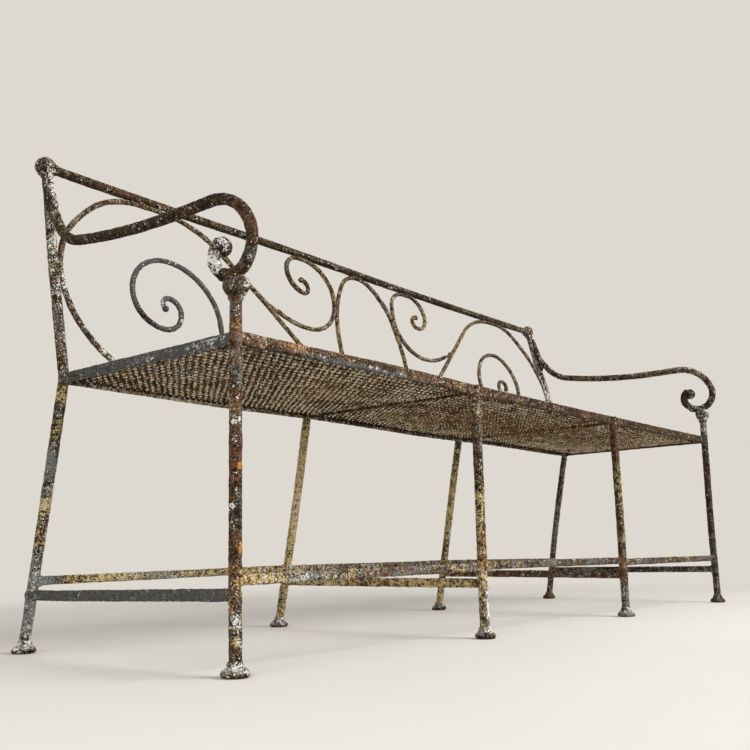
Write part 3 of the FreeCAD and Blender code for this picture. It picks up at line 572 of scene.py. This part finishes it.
# Coats from the iron outwards: name, sizes of its wear, sharpness of its edge, thickness.
COATS = (("rust", 85, 330, 0.20, 0.0), ("grey", 80, 320, 0.15, 0.3), ("ochre", 100, 430, 0.09, 0.5),
         ("fresh", 100, 380, 0.12, 0.3), ("white", 105, 360, 0.05, 0.9))
LAYERS = [coat[0] for coat in COATS]
IRON, BROWN = (24, 15, 6), (80, 60, 37)
RUST, GREY, OCHRE = (120, 82, 55), (128, 131, 129), (216, 188, 130)
FRESH, PALE = (218, 142, 62), (250, 245, 233)
PAINTS = {
    "rail_paint": worn_paint("rail_paint", (20, 13, 6), (66, 50, 32),
                             ((94, 68, 47), (108, 107, 102), (172, 146, 104), (168, 118, 70), PALE)),
    "leg_paint": worn_paint("leg_paint", IRON, BROWN, (RUST, GREY, (228, 201, 140), FRESH, PALE)),
    "slate_paint": worn_paint("slate_paint", IRON, (60, 50, 40),
                              (RUST, (88, 89, 87), OCHRE, FRESH, PALE)),
    "seat_paint": worn_paint("seat_paint", IRON, (74, 56, 39),
                             ((118, 82, 56), (98, 98, 95), (196, 166, 118), (196, 138, 76), PALE)),
    "scroll_paint": worn_paint("scroll_paint", IRON, BROWN, (RUST, GREY, (186, 162, 116), FRESH, PALE)),
    "foot_paint": worn_paint("foot_paint", IRON, BROWN, (RUST, (146, 146, 140), OCHRE, FRESH, PALE)),
    "seat_wire": worn_paint("seat_wire", (14, 9, 4), (82, 58, 34),
                            ((132, 93, 54), (136, 111, 80), (200, 162, 108), FRESH, (255, 236, 202))),
}

# Share of each coat left on each kind of piece, in the order of the coats.
WEAR = {
    "top_rail": (0.40, 0.12, 0.26, 0.16, 0.15),
    "arm": (0.34, 0.16, 0.22, 0.06, 0.14),
    "finial": (0.42, 0.22, 0.22, 0.06, 0.30),
    "front_ball": (0.44, 0.32, 0.18, 0.10, 0.34),
    "front_post": (0.42, 0.32, 0.12, 0.06, 0.13),
    "back_post": (0.30, 0.36, 0.26, 0.05, 0.26),
    "leg": (0.28, 0.30, 0.46, 0.06, 0.14),
    "foot": (0.25, 0.52, 0.16, 0.02, 0.46),
    "stretcher": (0.36, 0.40, 0.42, 0.06, 0.13),
    "rail": (0.36, 0.24, 0.18, 0.11, 0.10),
    # Cross bars under the seat keep little paint and show dark iron: a painted shade under the seat.
    "cross_bar": (0.24, 0.12, 0.16, 0.04, 0.06),
    "slate": (0.08, 0.95, 0.03, 0.02, 0.13),
    "scroll": (0.32, 0.26, 0.40, 0.06, 0.15),
    "wire_rising": (0.44, 0.24, 0.36, 0.02, 0.32),
    "wire_falling": (0.44, 0.26, 0.40, 0.02, 0.28),
}
# Places that differ: middle, reach, and the shares there.
ZONES = (
    # Left front post, from its ball down.
    ((-END_X, FRONT_Y, 0.477), 0.018, (0.46, 0.52, 0.12, 0.05, 0.04)),
    ((-END_X, FRONT_Y, 0.450), 0.016, (0.80, 0.10, 0.36, 0.20, 0.08)),
    ((-0.838, -0.260, 0.433), (0.008, 0.01, 0.010), (0.75, 0.05, 0.46, 0.36, 0.08)),
    ((-END_X, FRONT_Y, 0.392), 0.032, (0.46, 0.46, 0.08, 0.05, 0.03)),
    ((-END_X, FRONT_Y, 0.342), 0.018, (0.70, 0.20, 0.35, 0.16, 0.20)),
    ((-0.852, -0.257, 0.320), (0.007, 0.007, 0.008), (0.20, 0.20, 0.20, 0.00, 0.80)),
    ((-END_X, FRONT_Y, 0.250), 0.060, (0.40, 0.30, 0.06, 0.03, 0.05)),
    ((-0.844, -0.262, 0.262), (0.006, 0.006, 0.006), (0.60, 0.00, 0.30, 1.00, 0.00)),
    ((-0.853, -0.257, 0.212), (0.006, 0.006, 0.005), (0.20, 0.30, 0.10, 0.00, 0.85)),
    ((-0.843, -0.263, 0.158), (0.006, 0.006, 0.009), (0.60, 0.00, 0.40, 1.00, 0.16)),
    ((-END_X, FRONT_Y, 0.105), (0.014, 0.012, 0.040), (0.70, 0.24, 0.18, 0.10, 0.12)),
    ((-0.842, -0.258, 0.118), (0.007, 0.007, 0.014), (0.40, 0.20, 0.30, 0.10, 0.46)),
    ((-0.848, -0.259, 0.068), (0.006, 0.006, 0.010), (0.30, 0.30, 0.10, 0.00, 0.80)),
    ((-0.844, -0.258, 0.038), (0.008, 0.008, 0.008), (0.40, 0.00, 0.75, 0.30, 0.40)),
    # Left front ball and the roll of the left arm.
    ((-0.857, -0.231, 0.575), 0.011, (0.35, 0.50, 0.30, 0.00, 0.78)),
    ((-0.852, -0.232, 0.560), 0.008, (0.35, 0.40, 0.40, 0.00, 0.46)),
    ((-0.850, -0.203, 0.558), 0.016, (0.10, 0.20, 0.10, 0.00, 0.92)),
    ((-0.851, -0.211, 0.540), 0.012, (0.10, 0.20, 0.10, 0.00, 0.90)),
    ((-0.851, -0.224, 0.535), 0.008, (0.20, 0.20, 0.10, 0.00, 0.80)),
    ((-END_X, -0.288, 0.590), 0.034, (0.78, 0.12, 0.14, 0.12, 0.06)),
    ((-END_X, -0.272, 0.545), 0.018, (0.25, 0.70, 0.15, 0.05, 0.34)),
    ((-END_X, -0.251, 0.526), 0.010, (0.90, 0.00, 0.20, 0.40, 0.10)),
    ((-END_X, FRONT_Y, 0.500), (0.02, 0.02, 0.006), (0.30, 0.58, 0.10, 0.05, 0.20)),
    ((-0.838, -0.264, 0.510), (0.008, 0.008, 0.010), (0.60, 0.05, 0.20, 0.20, 0.52)),
    # Left back post, from its finial down.
    ((-0.842, 0.250, 0.785), (0.009, 0.018, 0.036), (0.20, 0.10, 0.10, 0.00, 0.70)),
    ((-0.858, 0.262, 0.780), (0.007, 0.012, 0.060), (0.35, 0.15, 0.10, 0.05, 0.04)),
    ((-END_X, 0.228, 0.690), (0.010, 0.014, 0.036), (0.20, 0.10, 0.10, 0.00, 0.62)),
    ((-END_X, 0.215, 0.590), 0.050, (0.46, 0.18, 0.26, 0.06, 0.34)),
    ((-END_X, 0.190, 0.500), 0.040, (0.52, 0.26, 0.16, 0.12, 0.26)),
    ((-END_X, 0.178, 0.412), 0.016, (0.20, 0.05, 0.74, 0.02, 0.14)),
    ((-END_X, 0.184, 0.382), 0.008, (0.10, 0.10, 0.00, 0.00, 0.00)),
    ((-END_X, 0.190, 0.350), 0.020, (0.35, 0.15, 0.50, 0.08, 0.12)),
    ((-END_X, 0.197, 0.310), 0.020, (0.30, 0.74, 0.10, 0.05, 0.18)),
    ((-END_X, 0.213, 0.235), 0.016, (0.15, 0.10, 0.80, 0.10, 0.35)),
    ((-END_X, 0.224, 0.180), 0.016, (0.40, 0.15, 0.55, 0.15, 0.16)),
    ((-END_X, 0.240, 0.080), 0.055, (0.05, 0.96, 0.08, 0.00, 0.16)),
    # Front seat rail: mottled and rusty at the left end, then brown above and grey below.
    ((-0.805, -0.256, 0.437), 0.026, (0.56, 0.34, 0.34, 0.10, 0.18)),
    ((-0.735, -0.256, 0.440), (0.032, 0.02, 0.008), (0.70, 0.00, 0.62, 0.55, 0.16)),
    ((-0.560, -0.256, 0.429), (0.150, 0.02, 0.006), (0.10, 0.95, 0.05, 0.02, 0.16)),
    ((-0.560, -0.256, 0.444), (0.150, 0.02, 0.006), (0.56, 0.12, 0.08, 0.12, 0.08)),
    ((-0.250, -0.256, 0.437), (0.200, 0.02, 0.030), (0.40, 0.22, 0.34, 0.18, 0.16)),
    ((0.400, -0.256, 0.437), (0.500, 0.02, 0.030), (0.32, 0.12, 0.08, 0.06, 0.09)),
    # Back seat rail.
    ((-0.600, 0.172, 0.435), (0.250, 0.02, 0.030), (0.54, 0.20, 0.62, 0.22, 0.44)),
    ((0.300, 0.172, 0.435), (0.600, 0.02, 0.030), (0.22, 0.20, 0.24, 0.04, 0.30)),
    # Stretchers.
    ((-0.815, FRONT_Y, 0.117), 0.028, (0.45, 0.10, 0.62, 0.34, 0.22)),
    ((-0.720, FRONT_Y, 0.117), 0.050, (0.32, 0.54, 0.25, 0.14, 0.29)),
    ((-0.480, FRONT_Y, 0.117), 0.110, (0.50, 0.56, 0.16, 0.05, 0.16)),
    ((0.250, FRONT_Y, 0.117), (0.550, 0.03, 0.03), (0.40, 0.36, 0.15, 0.04, 0.17)),
    ((0.250, 0.235, 0.117), (0.450, 0.03, 0.03), (0.36, 0.42, 0.20, 0.05, 0.16)),
    ((-0.826, 0.235, 0.117), 0.020, (0.05, 0.95, 0.10, 0.00, 0.18)),
    ((-0.720, 0.235, 0.117), 0.070, (0.30, 0.10, 0.54, 0.10, 0.17)),
    ((-0.600, 0.235, 0.117), 0.035, (0.20, 0.70, 0.30, 0.02, 0.16)),
    ((-INNER_X, 0.000, 0.092), (0.020, 0.240, 0.02), (0.25, 0.10, 0.60, 0.05, 0.18)),
    ((INNER_X, 0.000, 0.092), (0.020, 0.300, 0.02), (0.42, 0.22, 0.22, 0.02, 0.20)),
    ((END_X, 0.000, 0.090), (0.020, 0.300, 0.02), (0.15, 0.40, 0.05, 0.00, 0.12)),
    # Inner legs and right legs.
    ((-INNER_X, FRONT_Y, 0.340), 0.070, (0.40, 0.42, 0.14, 0.06, 0.14)),
    ((-INNER_X, FRONT_Y, 0.150), (0.02, 0.02, 0.070), (0.54, 0.06, 0.38, 0.18, 0.18)),
    ((-0.279, -0.262, 0.050), (0.007, 0.006, 0.036), (0.10, 0.80, 0.10, 0.00, 0.70)),
    ((-INNER_X, 0.210, 0.250), 0.140, (0.25, 0.10, 0.84, 0.06, 0.30)),
    ((INNER_X, 0.210, 0.250), (0.030, 0.070, 0.160), (0.30, 0.12, 0.60, 0.06, 0.22)),
    ((INNER_X, FRONT_Y, 0.230), (0.020, 0.020, 0.100), (0.32, 0.18, 0.34, 0.05, 0.14)),
    ((INNER_X, FRONT_Y, 0.380), 0.050, (0.50, 0.24, 0.12, 0.05, 0.14)),
    ((INNER_X, FRONT_Y, 0.108), 0.024, (0.66, 0.06, 0.36, 0.14, 0.14)),
    ((INNER_X, FRONT_Y, 0.048), (0.020, 0.020, 0.032), (0.18, 0.42, 0.06, 0.00, 0.36)),
    ((END_X, FRONT_Y, 0.250), (0.030, 0.030, 0.160), (0.20, 0.22, 0.08, 0.02, 0.10)),
    ((END_X, FRONT_Y, 0.005), (0.030, 0.030, 0.022), (0.15, 0.34, 0.04, 0.00, 0.12)),
    ((END_X, 0.257, 0.005), (0.030, 0.030, 0.020), (0.62, 0.12, 0.24, 0.04, 0.12)),
    ((END_X, 0.215, 0.230), (0.030, 0.060, 0.160), (0.24, 0.50, 0.12, 0.02, 0.08)),
    # Right arm, middle of the top rail, and the right posts above the seat.
    ((END_X, -0.100, 0.640), (0.030, 0.300, 0.060), (0.22, 0.34, 0.38, 0.02, 0.33)),
    ((0.150, 0.277, 0.835), (0.500, 0.030, 0.030), (0.26, 0.10, 0.18, 0.08, 0.14)),
    ((END_X, -0.235, 0.530), (0.020, 0.040, 0.022), (0.20, 0.30, 0.15, 0.02, 0.52)),
    ((END_X, FRONT_Y, 0.470), (0.020, 0.020, 0.030), (0.25, 0.40, 0.10, 0.02, 0.36)),
    ((END_X, 0.200, 0.570), (0.060, 0.060, 0.160), (0.25, 0.15, 0.10, 0.02, 0.56)),
    # Scrolls of the back, left.
    ((-0.780, 0.190, 0.490), 0.045, (0.40, 0.25, 0.30, 0.10, 0.40)),
    ((-0.666, 0.212, 0.587), 0.026, (0.45, 0.20, 0.10, 0.05, 0.10)),
    ((-0.633, 0.221, 0.619), 0.010, (0.00, 0.80, 0.00, 0.00, 0.85)),
    # The net is paler near the left front corner and browner in the middle and right bays.
    ((-0.480, -0.080, 0.432), (0.200, 0.120, 0.020), (0.50, 0.24, 0.52, 0.04, 0.34)),
    ((0.240, -0.040, 0.432), (0.560, 0.160, 0.020), (0.60, 0.05, 0.39, 0.06, -0.14)),
    # Left side rail: dark to the back, with scuffs along its lower edge.
    ((-0.850, 0.070, 0.437), (0.020, 0.110, 0.014), (0.10, 0.74, 0.03, 0.00, 0.06)),
    ((-0.850, -0.190, 0.432), (0.012, 0.035, 0.007), (0.20, 0.80, 0.05, 0.02, 0.42)),
    ((-0.850, -0.060, 0.431), (0.012, 0.030, 0.006), (0.10, 0.85, 0.05, 0.02, 0.38)),
    ((-0.850, 0.145, 0.437), (0.012, 0.025, 0.010), (0.40, 0.60, 0.10, 0.05, 0.30)),
    # Soles of the feet.
    ((0.0, 0.0, 0.0), (9, 9, 0.0055), (0.45, 0.20, 0.04, 0.00, 0.04)),
)
# More white on the front and right sides of bars, partly paint that lasts there and partly a painted
# highlight on the side the key light falls on.
WEAR_AND_HIGHLIGHT_SIDE = np.array((0.06, -0.05, 0.02))
# Wires are whiter on their front, left and lower sides: a painted highlight where light catches them from
# below.
WIRE_HIGHLIGHT_SIDE = np.array((-0.04, -0.06, -0.05))
# Where the white of a wire's lowest points starts, and how broken it is.
CROWN_START, WIRE_BREAKS, BREAK_REACH = 0.6, 0.5, 0.016
# Along the front and back edges of the net, next to the rails, paint fades over this width to a least share,
# leaving dark iron: a painted shade.
EDGE_SHADE, EDGE_LEAST = 0.022, 0.15
# How uneven each coat is from place to place, and the least weight of a zone that counts.
UNEVEN, UNEVEN_REACH, FAINT = 0.42, 0.07, 0.01
KINDS = ("top_rail", "arm", "finial", "front_ball", "front_post", "back_post", "stretcher", "cross_bar")


def kind_of(node):
    """The kind of wear on a node."""
    if SLOTS[node] == "slate_paint":
        return "slate"
    if node.endswith("_foot"):
        return "foot"
    for kind in KINDS:
        if kind in node:
            return kind
    if node.startswith(("front_leg", "back_leg")):
        return "leg"
    return "rail" if node.startswith("seat_") else "scroll"


def wear(piece, kind, side, more=0.0, hold=1.0):
    """Amounts of each coat on a piece, uneven from place to place, and whiter towards the given side: a
    painted highlight where light falls, on bars partly also paint that lasts there.

    There can be more white in places, and places that hold less of every coat, which on the net is painted
    shade.
    """
    points, normals = mesh_points(piece.data), mesh_normals(piece.data)
    amounts = np.array(WEAR[kind])[None, :] + np.zeros((len(points), 1))
    for place, reach, shares in ZONES:
        weight = np.exp(-(((points - place) / reach) ** 2).sum(axis=1))[:, None]
        if weight.max() > FAINT:
            amounts += weight * (shares - amounts)
    # Whiter towards the given side: a painted highlight where light falls, on bars partly also paint.
    amounts[:, -1] += normals @ side + more
    for number, layer in enumerate(LAYERS):
        patchy = UNEVEN * (rough_noise(points, UNEVEN_REACH, number) - 0.5)
        amount = np.clip(amounts[:, number] * hold + patchy, 0, 1)
        layer_data = piece.data.attributes.new(layer, "FLOAT", "POINT")
        layer_data.data.foreach_set("value", amount.astype(np.float32))


def voxel_of(node):
    """How fine a piece's skin is."""
    if node.endswith("_foot") or "ball" in node or "finial" in node or node == "scroll_welds":
        return SMALL_VOXEL
    if "stretcher" in node or node.startswith("seat_"):
        return FLAT_VOXEL
    return SCROLL_VOXEL if kind_of(node) in ("scroll", "slate") else ROUND_VOXEL


def ring_mesh(runs):
    """One mesh of round tubes, each run an array of rings of points."""
    faces, start = [], 0
    for run in runs:
        count, sides = run.shape[:2]
        index = start + np.arange(count * sides).reshape(count, sides)
        right = np.roll(index, -1, axis=1)
        faces.append(np.stack([index[:-1], right[:-1], right[1:], index[1:]], axis=-1).reshape(-1, 4))
        start += count * sides
    points = np.concatenate([run.reshape(-1, 3) for run in runs])
    quads = np.concatenate(faces)
    mesh = bpy.data.meshes.new("rings")
    mesh.vertices.add(len(points))
    mesh.vertices.foreach_set("co", points.astype(np.float32).ravel())
    mesh.loops.add(quads.size)
    mesh.loops.foreach_set("vertex_index", quads.astype(np.int32).ravel())
    mesh.polygons.add(len(quads))
    mesh.polygons.foreach_set("loop_start", np.arange(0, quads.size, 4, dtype=np.int32))
    mesh.update(calc_edges=True)
    mesh.shade_smooth()
    return mesh


def wire_rings(line, radius):
    """Rings of points round a wire."""
    angles = np.arange(WIRE_SIDES) * 2 * np.pi / WIRE_SIDES
    way = np.gradient(line, axis=0)
    way /= np.linalg.norm(way, axis=1)[:, None]
    level = np.cross((0.0, 0.0, 1.0), line[-1] - line[0])
    across = level / np.linalg.norm(level)
    above = np.cross(way, across)
    above /= np.linalg.norm(above, axis=1)[:, None]
    return line[:, None, :] + radius * (np.cos(angles)[None, :, None] * across
                                        + np.sin(angles)[None, :, None] * above[:, None, :])


class Bay:
    """One bay of the seat: its middle, its half width and depth out to the edge rods, and its level."""

    def __init__(self, name):
        low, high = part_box(f"seat_mesh_{name}")
        self.middle = np.array([(low.x + high.x) / 2, (low.y + high.y) / 2])
        self.half = np.array([(high.x - low.x) / 2, (high.y - low.y) / 2]) - ROD_INSET
        self.level = (low.z + high.z) / 2

    def rods(self):
        """Rods along the four edges, which the wires are wrapped round."""
        lines = []
        for axis in (0, 1):
            for side in (-1, 1):
                spots = np.zeros((ROD_STEPS, 3))
                spots[:, axis] = np.linspace(-self.half[axis], self.half[axis], ROD_STEPS)
                spots[:, 1 - axis] = side * self.half[1 - axis]
                lines.append(spots + (*self.middle, self.level))
        return lines

    def wrapped(self, end, radius):
        """Points of a wire's end, up round the outside of its edge rod."""
        axis = int(np.argmax(np.abs(end) / self.half))
        out = np.zeros(3)
        out[axis] = math.copysign(1, end[axis])
        reach = ROD_RADIUS + radius
        above = np.array((0, 0, 1))
        turn = np.cos(WRAP_TURNS)[:, None] * out + np.sin(WRAP_TURNS)[:, None] * above
        return np.array((*end, 0)) + reach * turn

    def wires(self, own, other):
        """One set of parallel wires, crimped over and under those of the other set."""
        way = np.array([math.cos(WIRE_ANGLE), own["way"] * math.sin(WIRE_ANGLE)])
        side = np.array([-own["way"] * way[1], own["way"] * way[0]])
        across = np.array([own["way"] * way[1], own["way"] * way[0]])
        count = int(np.abs(side) @ self.half / own["pitch"])
        spacing = other["pitch"] / math.sin(2 * WIRE_ANGLE)
        lines = []
        for number in range(-count, count + 1):
            base = side * number * own["pitch"]
            ends = np.stack([(-self.half - base) / way, (self.half - base) / way])
            first, last = ends.min(axis=0).max(), ends.max(axis=0).min()
            if last - first < SHORTEST_WIRE:
                continue
            steps = max(int((last - first - 2 * ROD_INSET) / spacing * WIRE_STEPS), LEAST_STEPS)
            along = np.linspace(first + ROD_INSET, last - ROD_INSET, steps + 1)
            flat = base + along[:, None] * way
            phase = np.pi * (flat @ across / other["pitch"] + number)
            run = np.column_stack([flat, own["way"] * own["crimp"] * np.cos(phase)])
            head = self.wrapped(base + first * way, own["radius"])[::-1]
            tail = self.wrapped(base + last * way, own["radius"])
            lines.append(np.concatenate([head, run, tail]) + (*self.middle, self.level))
        return lines

    def sagged(self, points):
        """The net hangs a little between its rods, unevenly."""
        across = np.clip(np.abs(points[:, :2] - self.middle) / self.half, 0, 1)
        slack = (1 - across ** 2).prod(axis=1)
        hold = np.minimum(1, SLACK_GAIN * slack)
        wave = sum(share * noise(points, reach, seed) for share, reach, seed in WAVES) - 1
        moved = points.copy()
        moved[:, 2] -= WIRE_SAG * slack - WIRE_WAVE * hold * wave
        moved[:, 0] += 2 * WIRE_DRIFT * hold * (noise(points, DRIFT_REACH, 10) - 0.5)
        return bent(moved)

    def hold(self, points):
        """How much paint the net keeps: little along the front and back edges, next to the rails, a painted
        shade there.
        """
        edge = self.half[1] - np.abs(points[:, 1] - self.middle[1])
        return np.clip(edge / EDGE_SHADE, EDGE_LEAST, 1)


def make_net():
    """Woven wire in each bay of the seat, wrapped round rods along its edges."""
    for name in ("left", "middle", "right"):
        bay = Bay(name)
        for own, other in ((RISING, FALLING), (FALLING, RISING)):
            lines = bay.wires(own, other)
            runs = [wire_rings(bay.sagged(line), own["radius"]) for line in lines]
            if own is FALLING:
                lines += bay.rods()
                runs += [wire_rings(bay.sagged(line), ROD_RADIUS) for line in bay.rods()]
            piece = link(f"seat_{own['kind']}_{name}", ring_mesh(runs))
            settle(piece, f"seat_mesh_{name}")
            points = mesh_points(piece.data)
            low = np.repeat(np.concatenate(lines)[:, 2], WIRE_SIDES)
            crown = np.clip((bay.level - low) / own["crimp"], -1, 1)
            breaks = WIRE_BREAKS * (noise(points, BREAK_REACH, 10) - 0.5)
            white = own["crown"] * (crown - CROWN_START) + breaks
            # Painted shade: paint thins to dark iron along the net's front and back edges and on the wires'
            # highest points.
            hold = bay.hold(points) * (1 - own["top_shade"] * (1 - crown) / 2)
            # The wires' white leans to their lit side, a painted highlight.
            wear(piece, own["kind"], WIRE_HIGHLIGHT_SIDE, white, hold)


def make_iron():
    """Every bar, ball, foot and weld of the bench, forged."""
    lumps = weld_lumps()
    made = {}
    for node in NODES:
        if node.endswith("_foot"):
            made[node] = forged(node, foot_mesh(node), FOOT_ROUGH)
        elif not node.startswith("seat_mesh"):
            made[node] = forged(node, bar_mesh(node, lumps[node]), 1.0)
    for side in ("left", "right"):
        draw_out(made[f"s_scroll_{side}"], made[f"back_loop_{side}"])
    for node, piece in made.items():
        # Bars are whiter on the side facing the key light: partly paint, partly a painted highlight.
        wear(piece, kind_of(node), WEAR_AND_HIGHLIGHT_SIDE)


BACKDROP = colour(222, 217, 208)
FLOOR_SIZE, FLOOR_TONES, FLOOR_ROUGHNESS = 30, (colour(232, 228, 220), colour(224, 220, 212)), 0.9
FLOOR_CLOUDS = (0.8, 3)
# The floor runs into the backdrop between these distances from the bench's middle.
FADE_START, FADE_END = 1.05, 2.3
SURROUND, SURROUND_STRENGTH = (1.0, 0.98, 0.95, 1), 0.29
# Each light's name, place, width and power, and the place they all point at.
LIGHTS = (
    ("key", (0.8, -3.4, 2.4), 2.4, 190),
    ("fill", (-3.4, -1.0, 1.4), 2.2, 45),
    ("rear", (0.4, 3.6, 2.0), 2.6, 22),
)
LIGHT_AIM = Vector((0, 0, 0.45))


def backdrop_rays(nodes, links):
    """One for rays that show the backdrop: from the camera, off a glossy surface or through a clear one."""
    path = nodes.new("ShaderNodeLightPath")
    seen = path.outputs["Is Camera Ray"]
    for kind in ("Glossy", "Transmission"):
        either = nodes.new("ShaderNodeMath")
        either.operation = "MAXIMUM"
        links.new(seen, either.inputs[0])
        links.new(path.outputs[f"Is {kind} Ray"], either.inputs[1])
        seen = either.outputs[0]
    return seen


def make_floor():
    """A plain pale floor that takes the bench's shadow and, further off, runs into the backdrop."""
    bpy.ops.mesh.primitive_plane_add(size=FLOOR_SIZE, location=(0, 0, 0))
    floor = bpy.context.object
    floor.name = "floor"
    tree = Tree("floor")
    skin = tree.add("ShaderNodeBsdfPrincipled")
    tree.put(skin.inputs["Base Color"], tree.mix(tree.noise(*FLOOR_CLOUDS, 1), *FLOOR_TONES))
    tree.put(skin.inputs["Roughness"], FLOOR_ROUGHNESS)
    glow = tree.add("ShaderNodeEmission")
    tree.put(glow.inputs["Color"], BACKDROP)
    away = tree.add("ShaderNodeVectorMath", operation="LENGTH")
    tree.put(away.inputs[0], tree.place)
    seen = backdrop_rays(tree.nodes, tree.links)
    blend = tree.add("ShaderNodeMixShader")
    fade = tree.ramp(away.outputs["Value"], FADE_START, FADE_END)
    tree.put(blend.inputs["Fac"], tree.math("MULTIPLY", fade, seen))
    tree.put(blend.inputs[1], skin.outputs["BSDF"])
    tree.put(blend.inputs[2], glow.outputs["Emission"])
    floor.data.materials.append(tree.surface(blend.outputs["Shader"]))


def make_light():
    """Soft studio light: a pale surround, a broad light in front, weaker ones to the left and behind."""
    world = bpy.data.worlds.new("studio")
    bpy.context.scene.world = world
    world.use_nodes = True
    nodes, links = world.node_tree.nodes, world.node_tree.links
    nodes.clear()
    glow = nodes.new("ShaderNodeBackground")
    glow.inputs["Color"].default_value = SURROUND
    glow.inputs["Strength"].default_value = SURROUND_STRENGTH
    seen = nodes.new("ShaderNodeBackground")
    seen.inputs["Color"].default_value = BACKDROP
    seen.inputs["Strength"].default_value = 1.0
    mix = nodes.new("ShaderNodeMixShader")
    out = nodes.new("ShaderNodeOutputWorld")
    links.new(backdrop_rays(nodes, links), mix.inputs["Fac"])
    links.new(glow.outputs["Background"], mix.inputs[1])
    links.new(seen.outputs["Background"], mix.inputs[2])
    links.new(mix.outputs["Shader"], out.inputs["Surface"])
    for name, place, width, power in LIGHTS:
        lamp = bpy.data.lights.new(name, "AREA")
        lamp.size = width
        lamp.energy = power
        holder = bpy.data.objects.new(name, lamp)
        holder.location = place
        holder.rotation_euler = (LIGHT_AIM - Vector(place)).to_track_quat("-Z", "Y").to_euler()
        bpy.context.scene.collection.objects.link(holder)


def make_camera():
    """The photo's low viewpoint near the left front corner."""
    yaw, pitch, roll = [math.radians(angle) for angle in (CAMERA_YAW, CAMERA_PITCH, CAMERA_ROLL)]
    ahead = Vector((math.sin(yaw) * math.cos(pitch), math.cos(yaw) * math.cos(pitch), math.sin(pitch)))
    right = Vector((math.cos(yaw), -math.sin(yaw), 0))
    above = right.cross(ahead)
    right, above = (right * math.cos(roll) + above * math.sin(roll),
                    above * math.cos(roll) - right * math.sin(roll))
    lens = bpy.data.cameras.new("camera")
    lens.sensor_width = SENSOR_WIDTH
    lens.lens = FOCAL_SHARE * SENSOR_WIDTH
    lens.clip_start = CLIP_START
    holder = bpy.data.objects.new("camera", lens)
    turned = Matrix((right, above, -ahead)).transposed().to_4x4()
    holder.matrix_world = Matrix.Translation(CAMERA_PLACE) @ turned
    bpy.context.scene.collection.objects.link(holder)
    bpy.context.scene.camera = holder


make_iron()
make_net()
make_floor()
make_light()
make_camera()
bpy.context.scene.view_settings.view_transform = "Standard"
